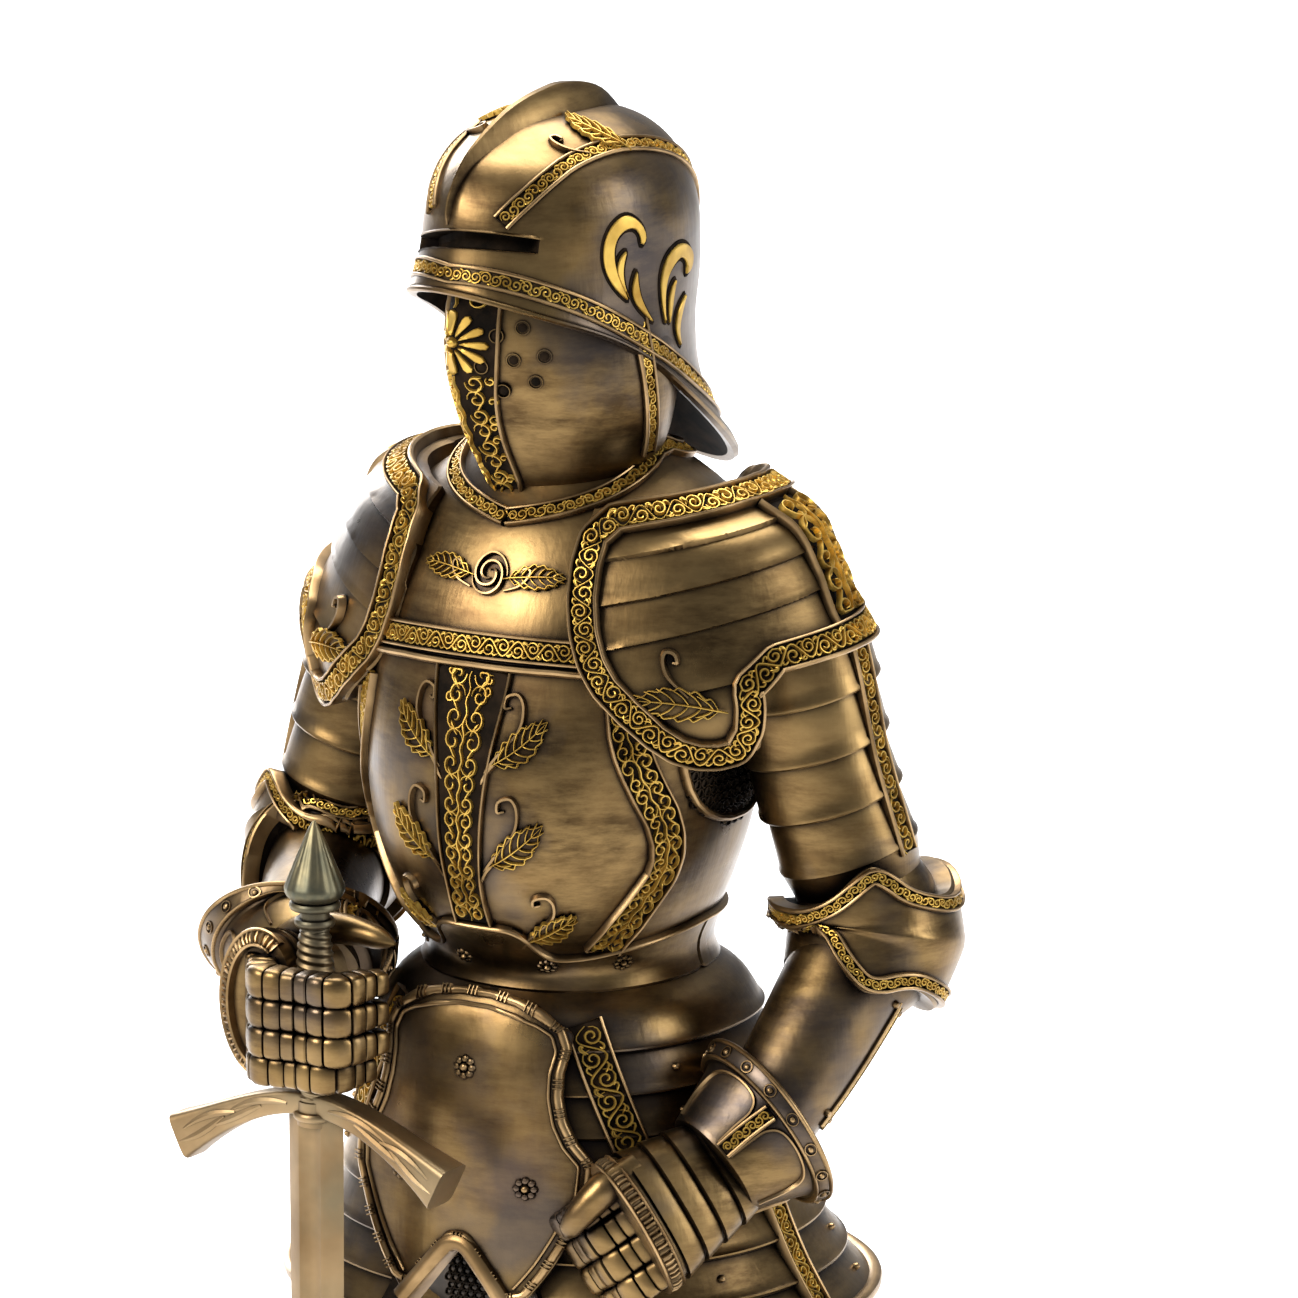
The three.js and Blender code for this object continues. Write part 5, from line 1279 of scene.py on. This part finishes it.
SKIRT_TOP, SKIRT_HEM, SKIRT_LAMES = 198, 145, 8
SKIRT_RIVET_PITCH = 6.6
SKIRT_COLUMNS = 260
FRONT_PLATE = [
    (0, 199.4), (18, 198), (30, 194.5), (25.4, 187), (27, 180), (35, 173.4), (21, 159),
    (11, 150.4), (5.6, 157), (0, 162.5),
]
# Half of the opening below the front plate's arch, and of the mail in it, as (place, degrees)
OPENING = ((138, 20), (147, 19), (154, 15), (160, 8), (163, 0))
MAIL_REACH = ((146, 21), (154, 17), (160, 11), (163, 3))
# How deep the mail's rings hang, as (place, lift)
MAIL_DEPTH = ((146, -17.6), (151, -13.8), (156, -10.8), (163, -8.4))
SKIRT_RING_PITCH = 2.6


def add_skirt_lames(heap):
    """The skirt's lames as an open shell that goes round the back"""
    height = (SKIRT_TOP - SKIRT_HEM) / SKIRT_LAMES
    rows = [(202, -2.0)]
    for k in range(SKIRT_LAMES):
        top = SKIRT_TOP - k * height
        rows.append((top + 0.02 * height, -0.4))
        rows += [(top - u * height, -0.4 + 1.3 * u**0.8) for u in np.linspace(0.08, 0.84, 6)]
        rows += [(top - 0.91 * height, 1.05), (top - 0.95 * height, 0.95), (top - 0.985 * height, 0.3)]
    rows += [(145, -0.2), (145.4, -2.4), (150, -3), (157, -4.5), (162, -5)]
    rows = np.array(rows)
    # The columns go from one edge of the opening to the other
    around = np.linspace(0, 360, SKIRT_COLUMNS)
    side = np.where(around < 180, 1, -1)
    away, places = np.meshgrid(np.minimum(around, 360 - around), rows[:, 0])
    half = np.interp(places, *np.transpose(OPENING))
    turns = side * np.where(away < 45, half + away * (45 - half) / 45, away)
    points = skirt.points(turns, places, rows[:, 1:2])
    # The walls of the opening lie in the dark, so they get the near-black ground: painted shade
    finish = np.full((SKIRT_COLUMNS - 1, len(rows)), PLATE)
    finish[[0, -1]] = GROUND_AND_PAINTED_SHADE
    rings(heap, points.transpose(1, 0, 2), finish)


def add_skirt_mail(heap):
    """Mail hangs behind the arch: a dark body with rows of linked rings in the gap"""
    rows = [(196, -6), (185, -6.5), (170, -7), (163, -8.6), (156, -11), (151, -14), (146, -18)]
    skin(heap, skirt, rows, 90, MAIL)
    ring = circle(9, 1.2, 0.62)
    for j, place in enumerate(np.arange(146.5, 163, 1.3)):
        reach = np.interp(place, *np.transpose(MAIL_REACH))
        for degrees in np.arange(-reach, reach, SKIRT_RING_PITCH):
            line = np.array([degrees + (SKIRT_RING_PITCH / 2 if j % 2 else 0), place]) + ring
            depth = np.interp(line[:, 1].mean(), *np.transpose(MAIL_DEPTH))
            strokes(heap, skirt, [line], 0.36, depth - 0.1, depth + 0.4, MAIL, taper=1.0)


def make_skirt():
    heap = Heap()
    add_skirt_lames(heap)
    add_skirt_mail(heap)
    # The front plate and its rolled edge
    outline = mirrored(FRONT_PLATE)
    patch(heap, skirt, outline, 3.3, -2, 1.1)
    track = Track(skirt, softened(shrunk(skirt, outline, 0.7), 1, True), closed=True)
    roll(heap, skirt, track, 1.4, 0.8, low=1.5, base=3.3)
    # Threes of thin rings bind the bead
    bindings = []
    for middle in np.arange(2, track.length, 4.4):
        for shift in (-0.62, 0, 0.62):
            across = [track.spots(middle + shift, side) for side in (-0.7, 0, 0.7)]
            bindings.append(flowing(across, 8))
    strokes(heap, skirt, bindings, 0.36, 3.8, 4.32, BRASS, taper=1)
    # The thin inner ridge stops at the arch
    inner = shrunk(skirt, outline, 2.2)
    inner = [*inner[len(FRONT_PLATE) + 1:], *inner[:len(FRONT_PLATE) - 2]]
    roll(heap, skirt, softened(inner, 1), 0.6, 0.45, low=2.8, base=3.3)
    for degrees, place in ((0, 188.5), (15.5, 171), (-15.5, 171)):
        rosette(heap, skirt, (degrees, place), 2.1, base=3.3)
    # The wide rolled lip of the arch
    arch = [(-11, 150.4), (-5.6, 157), (0, 162.5), (5.6, 157), (11, 150.4)]
    roll(heap, skirt, softened(arch, 2), 2.9, 1.1, low=0.5, base=3.7)
    roll(heap, skirt, [(d, 145.5) for d in np.linspace(24, 336, 160)], 2.4, 1.3, low=-1, base=0.9)
    for hand in (1, -1):
        front = softened(handed(hand, [(33, 196), (40, 184), (46, 173)]))
        border(heap, skirt, front, 6.0, base=0.7, seed=101 + hand, rise=0.9)
        flank = softened(handed(hand, [(84, 176), (87, 162), (88, 147.6)]))
        border(heap, skirt, flank, 4.6, base=0.8, seed=103 + hand, rise=0.9)
        for degrees in (62, 112, 150):
            for k in range(1, SKIRT_LAMES):
                spot = (hand * degrees, SKIRT_TOP - (k + 0.45) * SKIRT_RIVET_PITCH)
                dome(heap, skirt, spot, 0.7, -0.1, 1.1)
    return heap


def make_leg(hand):
    heap = Heap()
    thigh = limb([
        (0, (hand * 16, 0, 166), (14.5, 15, 15)),
        (20, (hand * 17.5, -1.5, 146), (14, 14.6, 14.6)),
        (45, (hand * 20, -4, 121), (12.6, 13, 13)),
        (68, (hand * 22.4, -6, 98), (10.6, 11, 10.8)),
    ])
    knee = limb([
        (0, (hand * 22.4, -6, 100), (10.6, 11.4, 10.6)),
        (12, (hand * 23, -6.6, 88), (12, 13, 11.4), {"keel": 1.4}),
        (24, (hand * 23.4, -5.6, 76), (10.6, 11.2, 10.8)),
    ])
    shin = limb([
        (0, (hand * 23.2, -5, 80), (10.4, 10.6, 10.6)),
        (18, (hand * 24.2, -2, 62), (11, 10.8, 12.2), {"keel": 0.8}),
        (42, (hand * 26, 1.6, 38), (8.6, 8.8, 9), {"keel": 0.8}),
        (64, (hand * 27.4, 3, 16), (7.8, 8.2, 8.2)),
        (72, (hand * 27.8, 3, 8), (8.2, 9, 8.6)),
    ])
    rows = [(0, -2), (2, 0), *[(at, 0) for at in np.linspace(4, 17, 8)], *lames(18, 34, 2, 0, 0.7)]
    rows += [(36, 0), *[(at, 0) for at in np.linspace(38, 63, 14)]]
    rows += [(63.6, 0.2), (64.2, 0.85), (66, 0.9), (68, 0.6), (68, -2)]
    skin(heap, thigh, rows, 56)
    rows = [(0, -2), (0, 0.6), (1.2, 0.9), (3.8, 0.9), (4.2, 0.3), (4.5, 0)]
    rows += [(at, 0) for at in np.linspace(5.5, 19, 14)]
    rows += [(19.7, 0.3), (20.1, 0.9), (23, 0.9), (24, 0.6), (24, -2)]
    skin(heap, knee, rows, 56)
    rows = [(0, -2), (0, 1), (3.6, 1), (4.2, 0.6), (4.6, 0), *[(at, 0) for at in np.linspace(6, 61, 34)]]
    rows += [(62, 0.2), (62.6, 0.9), (66, 0.7), (72, 0), (74, -2)]
    skin(heap, shin, rows, 56)
    wing = [(60, 4), (78, 2.5), (100, 6), (118, 12), (100, 18), (78, 21.5), (60, 20)]
    wing = wing if hand > 0 else other_side(wing)
    patch(heap, knee, softened(wing, 2, True), 1.3, -2, 1.0)
    ring = softened(shrunk(knee, wing, 1.0), 2, True)
    roll(heap, knee, ring, 1.0, 0.6, low=0, base=1.2, closed=True)
    rosette(heap, knee, (hand * 88, 12), 2.2, base=1.2)
    around = np.linspace(-180, 176, 90)
    garter = Track(thigh, [(degrees, 60.4) for degrees in around], closed=True)
    border(heap, thigh, garter, 4.2, base=0.0, seed=111 + hand, rise=0.8)
    roll(heap, shin, [(degrees, 7.6) for degrees in around], 1.6, 0.6, closed=True)
    border(heap, shin, handed(hand, [(96, 12), (96, 58)]), 3.0, base=0.0, seed=115 + hand, rise=0.7)
    roll(heap, knee, [(0, 3), (0, 12), (0, 21)], 1.0, 0.5)
    for at in (16, 34, 52):
        for degrees in (84, 108):
            dome(heap, shin, (hand * degrees, at), 0.7, -0.1, 0.7)
    shoe(heap, hand)
    return heap


def shoe(heap, hand):
    """A pointed shoe of five lames, turned out"""
    turn = math.radians(hand * 17)
    forward = np.array([math.sin(turn), -math.cos(turn), 0])
    side = np.array([math.cos(turn), math.sin(turn), 0])
    heel = np.array([hand * 26.6, 12, 0])
    angle = np.linspace(0, math.pi, 40)

    def row(ahead, wide, tall):
        up = tall * np.maximum(0, np.sin(angle)) ** 0.85
        across = wide * np.cos(angle)
        return heel + forward * ahead + side * across[:, None] + np.array([0, 0, 1]) * up[:, None]

    grid = [row(0, 5.4, 12), row(0.6, 6.6, 13.6), row(2, 7.6, 15), row(6, 8.0, 16.2), row(12, 8.2, 17)]
    for k in range(5):
        ahead, u = 16 + k * 6.6, k / 5
        start = np.array([9.4 - 4.6 * u**2.2, 15.4 - 9 * u])
        end = np.array([9.8 - 5 * (u + 0.15) ** 2.2, 14 - 9 * u])
        for share in np.linspace(0, 1, 5):
            wide, tall = start + (end - start) * share
            grid.append(row(ahead + 6.2 * share, wide, tall + 0.3 * math.sin(math.pi * share)))
        grid.append(row(ahead + 6.35, end[0] - 0.4, end[1] - 0.5))
    grid += [row(50, 3.0, 4.6), row(53, 1.7, 3.2), row(54, 1, 2.4)]
    rings(heap, grid)


SWORD_PLACE = (-20, -46)
SWORD_TURN = math.radians(-5)
BLADE_HALF_WIDTH, BLADE_HALF_THICKNESS = 5.3, 1.8
# The blade's width and thickness as shares of their most, by height
BLADE_TAPER = ((0, 0.12, 0.3), (20, 0.8, 0.85), (90, 0.9, 0.95), (181, 1, 1))
# One side of the blade's section, as shares across and deep; the middle of it is hollowed
BLADE_SIDE = ((1, 0), (0.5, 0.9), (0.4, 1), (0.14, 1), (0, 1), (-0.14, 1), (-0.4, 1), (-0.5, 0.9))
GUARD_HEIGHT, GUARD_HALF_LENGTH = 183.5, 25
GRIP_RADIUS, WIRE_PITCH = 2.8, 1.35
# The grip's swell, as (height, share of its radius)
GRIP_SWELL = ((180, 1.05), (188, 1), (192, 1.12), (201, 1.2), (209, 1.05), (212.5, 0.86), (217, 0.8))
POMMEL_FOOT, POMMEL_LENGTH, POMMEL_RADIUS = 215.5, 13.5, 4.8
# The pommel's outline, as (share of its length, share of its radius)
POMMEL = (
    (0, 0.52), (0.04, 0.62), (0.1, 0.88), (0.16, 0.98), (0.22, 1), (0.32, 0.9), (0.46, 0.74), (0.6, 0.58),
    (0.74, 0.41), (0.86, 0.26), (0.94, 0.15), (1, 0.05),
)


def sword_spot(across, deep, height):
    """A point beside the sword's upright middle line"""
    across, deep, height = np.broadcast_arrays(across, deep, height)
    return np.stack([
        SWORD_PLACE[0] + across * math.cos(SWORD_TURN) - deep * math.sin(SWORD_TURN),
        SWORD_PLACE[1] + across * math.sin(SWORD_TURN) + deep * math.cos(SWORD_TURN),
        height,
    ], axis=-1)


def sword_ring(radius, turn, height):
    return sword_spot(radius * np.cos(turn), radius * np.sin(turn), height)


def guard_middle(u):
    """The height of the guard's middle, which droops to both ends"""
    return GUARD_HEIGHT - 7 * u * u - 1.2 * (1 - math.cos(u * 3))


def make_sword():
    heap = Heap()
    # The blade, with a hollow along its middle
    taper_heights, widths, thicknesses = zip(*BLADE_TAPER)
    grid = []
    for height in (183, 181, 160, 140, 120, 100, 80, 60, 40, 20, 12, 6, 2, 0):
        wide = BLADE_HALF_WIDTH * np.interp(height, taper_heights, widths)
        thick = BLADE_HALF_THICKNESS * np.interp(height, taper_heights, thicknesses)
        across, deep = np.transpose(BLADE_SIDE)
        deep = np.where(np.abs(across) < 0.2, deep - (0.35 if height > 70 else 0), deep)
        across, deep = np.concatenate([across, -across]), np.concatenate([deep, -deep])
        grid.append(sword_spot(across * wide, deep * thick, height))
    rings(heap, grid, SWORD)
    # The grip: a core wound with wire between collars
    turn = round_turn(40)
    grid = []
    for height in (*np.linspace(180, 212, 230), *np.linspace(212.4, 217, 12)):
        swell = np.interp(height, *np.transpose(GRIP_SWELL))
        core = GRIP_RADIUS * swell - (0.26 if 184 < height < 212 else 0)
        wind = 0.16 * np.cos(turn * 2 + height * 2 * math.pi / WIRE_PITCH) if 184.5 < height < 211.5 else 0.0
        grid.append(sword_ring(core + wind, turn, height))
    rings(heap, grid, SWORD)
    # The pommel: a fig's bud with grooves down its sides
    turn = round_turn(72)
    ribs = np.abs(np.cos(turn * 7 + 0.4 * np.sin(3 * turn))) ** 4
    grid = []
    for u in np.linspace(0, 1, 44):
        groove = 0.16 * np.sin(math.pi * min(1, u * 1.1)) * ribs
        radius = POMMEL_RADIUS * np.interp(u, *np.transpose(POMMEL)) - groove
        grid.append(sword_ring(radius, turn, POMMEL_FOOT + POMMEL_LENGTH * u))
    rings(heap, grid, SWORD)
    # Round collars above and below the grip
    for height, radius in ((212.8, 2.7), (215.6, 3.5), (181.6, 3.1)):
        rings(heap, [
            sword_ring(radius + math.sin(a) * 0.5, turn, height - 0.7 * math.cos(a))
            for a in np.linspace(0, math.pi, 7)
        ], SWORD)
    # The guard, with flared ends
    grid = []
    corner = np.linspace(0, 2 * math.pi, 32, endpoint=False)
    up, out = squared(np.sin(corner), 0.36), squared(np.cos(corner), 0.36)
    for u in np.linspace(-1, 1, 90):
        flare = abs(u) ** 3
        tall, deep = 1.9 + 1.5 * flare, 2.3 + 1.1 * flare
        across = u * GUARD_HALF_LENGTH + 0.5 * u * tall * up
        grid.append(sword_spot(across, deep * out, guard_middle(u) + tall * up))
    rings(heap, grid, SWORD)
    # Long leaves carved on the guard's broad faces
    v = np.linspace(0, 1, 12)
    reach = [0.2 + 0.42 * math.sin(math.pi * min(1, share * 0.9 + 0.1)) for share in v]
    for hand in (1, -1):
        for face in (1, -1):
            for foot, tip, rise in ((4, 15, 0.9), (9, 19.5, -0.8), (14, 23.6, 1.3), (16, 24.4, -1.2)):
                path = []
                for share in v:
                    across = foot + (tip - foot) * share
                    u = across / GUARD_HALF_LENGTH
                    height = guard_middle(u) + rise * math.sin(share * 2.4)
                    path.append(sword_spot(hand * across, face * (2.15 + 1.1 * u**3), height))
                tube(heap, path, reach, 6, SWORD)
    return heap


# The plinth's moulded edge, as shares of its radius and height
PLINTH = (
    (0.02, 0), (0.5, 0), (0.99, 0), (1, 0.01), (1, 0.21), (0.998, 0.235), (0.992, 0.25), (0.985, 0.3),
    (0.95, 0.36), (0.938, 0.42), (0.93, 0.5), (0.921, 0.6), (0.915, 0.7), (0.925, 0.75), (0.94, 0.78),
    (0.946, 0.83), (0.945, 0.88), (0.938, 0.95), (0.925, 0.995), (0.9, 1), (0.5, 1), (0.02, 1),
)


def make_plinth():
    heap = Heap()
    turn = round_turn(220)
    grid = []
    for reach, height in PLINTH:
        radius = reach * PLINTH_RADIUS
        up = np.full(len(turn), height * PLINTH_HEIGHT - PLINTH_HEIGHT)
        grid.append(np.stack([radius * np.cos(turn), radius * np.sin(turn) - FIGURE_SETBACK, up], axis=1))
    rings(heap, grid, STONE)
    return heap


class Nodes:
    """Builds a material's nodes one after another"""

    def __init__(self, name):
        self.material = bpy.data.materials.new(name)
        self.material.use_nodes = True
        self.tree = self.material.node_tree
        self.shader = self.tree.nodes["Principled BSDF"]

    def add(self, kind, inputs=None, **settings):
        node = self.tree.nodes.new(kind)
        for key, value in settings.items():
            setattr(node, key, value)
        for key, value in (inputs or {}).items():
            self.set(node.inputs[key], value)
        return node

    def set(self, socket, value):
        if isinstance(value, bpy.types.NodeSocket):
            self.tree.links.new(value, socket)
        else:
            socket.default_value = value

    def noise(self, scale, detail, stretch=(1, 1, 1), roughness=0.55):
        place = self.add("ShaderNodeTexCoord")
        mapping = self.add("ShaderNodeMapping", {"Vector": place.outputs["Object"], "Scale": stretch})
        settings = {"Vector": mapping.outputs[0], "Scale": scale, "Detail": detail, "Roughness": roughness}
        return self.add("ShaderNodeTexNoise", settings).outputs["Fac"]

    def ramp(self, factor, stops):
        node = self.add("ShaderNodeValToRGB", {"Fac": factor})
        while len(node.color_ramp.elements) < len(stops):
            node.color_ramp.elements.new(0.5)
        for element, (place, colour) in zip(node.color_ramp.elements, stops):
            element.position = place
            element.color = (*colour, 1) if np.ndim(colour) else (colour, colour, colour, 1)
        return node.outputs["Color"]

    def mix(self, factor, first, second):
        """From the first colour to the second by the factor"""
        node = self.add("ShaderNodeMix", data_type="RGBA")
        second = (*second, 1) if isinstance(second, tuple) else second
        # The colour sockets of this node come after those of its other types
        for index, value in ((0, factor), (6, first), (7, second)):
            self.set(node.inputs[index], value)
        return node.outputs[2]

    def tones(self, scale, detail, first, second):
        """Clouds from one (place, colour) to another"""
        return self.ramp(self.noise(scale, detail), [first, second])

    def hollows(self, distance, low, high, most=1.0, alone=True):
        """Up to 1 in the hollows of the relief and 0 in the open"""
        node = self.add("ShaderNodeAmbientOcclusion", {"Distance": distance}, samples=8, only_local=alone)
        return self.ramp(node.outputs["AO"], [(low, most), (high, 0.0)])

    def above(self, low, high):
        """Rises from 0 to 1 between two heights in metres"""
        place = self.add("ShaderNodeTexCoord")
        parts = self.add("ShaderNodeSeparateXYZ", {"Vector": place.outputs["Object"]})
        limits = {"Value": parts.outputs["Z"], "From Min": low, "From Max": high}
        return self.add("ShaderNodeMapRange", limits).outputs["Result"]

    def bump(self, height, strength, distance):
        node = self.add("ShaderNodeBump", {"Height": height, "Strength": strength, "Distance": distance})
        self.tree.links.new(node.outputs[0], self.shader.inputs["Normal"])

    def finish(self, colour, roughness, metallic=1.0):
        self.set(self.shader.inputs["Base Color"], (*colour, 1) if isinstance(colour, tuple) else colour)
        self.set(self.shader.inputs["Roughness"], roughness)
        self.set(self.shader.inputs["Metallic"], metallic)
        return self.material


def plate_look():
    look = Nodes("antique_bronze")
    clouds = look.ramp(look.noise(42, 5), [
        (0.34, (0.06, 0.036, 0.015)), (0.5, (0.14, 0.085, 0.033)), (0.66, (0.25, 0.16, 0.062)),
    ])
    streaks = look.ramp(look.noise(95, 5, (1, 1, 4), 0.7), [(0.38, 0.0), (0.62, 0.55)])
    brushed = look.mix(streaks, clouds, (0.27, 0.175, 0.07))
    steel = look.tones(26, 5, (0.53, 0.0), (0.64, 0.62))
    tint = look.mix(steel, brushed, (0.05, 0.05, 0.058))
    red = look.tones(17, 4, (0.54, 0.0), (0.68, 0.35))
    warm = look.mix(red, tint, (0.13, 0.066, 0.036))
    # Painted shade: darker where the figure's parts lie close together, by occlusion over 20 mm that counts
    # the other pieces too
    with_painted_shade = look.mix(look.hollows(0.02, 0.3, 0.85, 0.7, False), warm, (0.03, 0.018, 0.01))
    colour = look.mix(look.hollows(0.004, 0.45, 0.99), with_painted_shade, (0.012, 0.009, 0.008))
    rough = look.tones(70, 5, (0.3, 0.26), (0.7, 0.44))
    look.bump(look.noise(800, 4, (1, 1, 0.12)), 0.2, 0.0002)
    return look.finish(colour, rough)


def brass_look():
    look = Nodes("worn_brass")
    tone = look.tones(110, 3, (0.35, (0.17, 0.105, 0.045)), (0.65, (0.36, 0.235, 0.11)))
    colour = look.mix(look.hollows(0.002, 0.3, 0.85), tone, (0.02, 0.015, 0.012))
    look.bump(look.noise(700, 2), 0.12, 0.0002)
    return look.finish(colour, 0.36)


def gilt_look():
    look = Nodes("gilt")
    tone = look.tones(160, 3, (0.3, (0.28, 0.155, 0.024)), (0.6, (0.58, 0.37, 0.075)))
    return look.finish(tone, 0.4, 0.85)


# The ornament's near-black ground, also put in gaps, holes and under the brim as painted shade
def ground_and_painted_shade_look():
    look = Nodes("dark_ground_and_painted_shade")
    tone = look.tones(260, 3, (0.35, (0.004, 0.003, 0.002)), (0.7, (0.018, 0.011, 0.006)))
    look.set(look.shader.inputs["Specular IOR Level"], 0.03)
    return look.finish(tone, 0.72, 0.0)


def mail_look():
    look = Nodes("dark_mail")
    tone = look.tones(150, 2, (0.35, (0.012, 0.01, 0.008)), (0.7, (0.05, 0.036, 0.024)))
    return look.finish(tone, 0.42)


def sword_look():
    look = Nodes("sandy_bronze")
    tone = look.tones(50, 4, (0.35, (0.17, 0.108, 0.05)), (0.62, (0.3, 0.205, 0.105)))
    green = look.tones(34, 5, (0.5, 0.0), (0.64, 0.45))
    patina = look.mix(green, tone, (0.1, 0.11, 0.078))
    # The pommel and the grip are greener and darker than the blade
    verdigris = look.tones(90, 5, (0.38, (0.045, 0.055, 0.045)), (0.62, (0.2, 0.165, 0.09)))
    patina = look.mix(look.above(0.228, 0.242), patina, verdigris)
    colour = look.mix(look.hollows(0.003, 0.3, 0.9), patina, (0.025, 0.021, 0.016))
    look.bump(look.noise(600, 4, (1, 1, 0.15)), 0.25, 0.0002)
    return look.finish(colour, 0.45)


def stone_look():
    look = Nodes("dark_patina")
    tone = look.tones(40, 5, (0.35, (0.04, 0.028, 0.02)), (0.7, (0.1, 0.07, 0.045)))
    look.bump(look.noise(300, 4), 0.15, 0.0003)
    return look.finish(tone, 0.42)


materials = [plate_look(), brass_look(), gilt_look(), ground_and_painted_shade_look(), mail_look(), sword_look(), stone_look()]


SHARP_ANGLE = math.radians(32)


def stand(heap, name, replaced=()):
    """One piece of the scene on the statue's only body"""
    mesh = heap.mesh(name)
    work = bmesh.new()
    work.from_mesh(mesh)
    bmesh.ops.recalc_face_normals(work, faces=work.faces)
    work.to_mesh(mesh)
    work.free()
    mesh.polygons.foreach_set("use_smooth", np.ones(len(mesh.polygons), bool))
    mesh.set_sharp_from_angle(angle=SHARP_ANGLE)
    piece = bpy.data.objects.new(name, mesh)
    bpy.context.scene.collection.objects.link(piece)
    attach(piece, "root")
    if replaced:
        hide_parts(*replaced)


stand(make_torso(), "torso_plates", replaced=("knight_figure",))
stand(make_helmet(), "helmet")
stand(make_bevor(), "bevor")
stand(make_pauldron(left_pauldron, 1), "left_shoulder")
stand(make_pauldron(right_pauldron, -1), "right_shoulder")
stand(make_arm(left_upper_arm, left_forearm, left_elbow, 1), "left_arm")
stand(make_arm(right_upper_arm, right_forearm, right_elbow, -1), "right_arm")
stand(make_hand(LEFT_HAND), "left_gauntlet")
stand(make_hand(RIGHT_HAND), "right_gauntlet")
stand(make_skirt(), "skirt")
stand(make_leg(1), "left_leg")
stand(make_leg(-1), "right_leg")
stand(make_sword(), "sword_cast", ("sword",))
stand(make_plinth(), "plinth_cast", ("plinth",))

scene = bpy.context.scene
# The camera stands far off, turned to the knight's left and a little above
AIM = Vector((0.0089, 0.0137, 0.272))
CAMERA_DISTANCE = 1.981
view = Vector((0.483, -0.8365, 0.2588)).normalized()
camera_data = bpy.data.cameras.new("camera")
camera_data.lens = 350
camera_data.sensor_width = 36
camera_data.clip_end = 50
camera = bpy.data.objects.new("camera", camera_data)
scene.collection.objects.link(camera)
camera.location = AIM + view * CAMERA_DISTANCE
camera.rotation_euler = view.to_track_quat("Z", "Y").to_euler()
scene.camera = camera


def lamp(name, place, size, power, colour=(1, 1, 1)):
    data = bpy.data.lights.new(name, "AREA")
    data.shape = "RECTANGLE"
    data.size, data.size_y = size
    data.energy = power
    data.color = colour
    light = bpy.data.objects.new(name, data)
    light.location = place
    light.rotation_euler = (Vector(place) - AIM).to_track_quat("Z", "Y").to_euler()
    scene.collection.objects.link(light)
    return light


lamp("key", (-0.75, -1.45, 1.25), (0.8, 0.8), 44, (1, 0.97, 0.93))
lamp("side", (1.5, 0.35, 0.8), (0.5, 1.2), 16, (0.93, 0.96, 1))
lamp("top", (-0.3, 0.5, 2.1), (1.5, 1.5), 24)
lamp("rear", (-1.2, 0.9, 0.7), (0.5, 1.1), 20, (0.93, 0.96, 1))
# The backlight shines straight down on the floor behind the figure
backlight = lamp("backlight", (-0.55, 0.95, 1.9), (1.6, 1.6), 75)
backlight.rotation_euler = (0, 0, 0)

FLOOR_REACH = 6
floor_mesh = bpy.data.meshes.new("floor")
corners = [(x * FLOOR_REACH, y * FLOOR_REACH, 0) for x, y in ((-1, -1), (1, -1), (1, 1), (-1, 1))]
floor_mesh.from_pydata(corners, [], [(0, 1, 2, 3)])
floor_look = Nodes("pale_floor")
floor_look.finish((0.86, 0.86, 0.87), 0.9, 0.0)
floor_mesh.materials.append(floor_look.material)
floor = bpy.data.objects.new("floor", floor_mesh)
scene.collection.objects.link(floor)
floor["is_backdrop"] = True

world = bpy.data.worlds.new("world")
world.use_nodes = True
world.node_tree.nodes["Background"].inputs["Color"].default_value = (0.85, 0.9, 1, 1)
world.node_tree.nodes["Background"].inputs["Strength"].default_value = 0.38
scene.world = world
scene.view_settings.view_transform = "Standard"

as_lists = [[list(map(float, corner)) for corner in box] for box in (cad_box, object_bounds())]
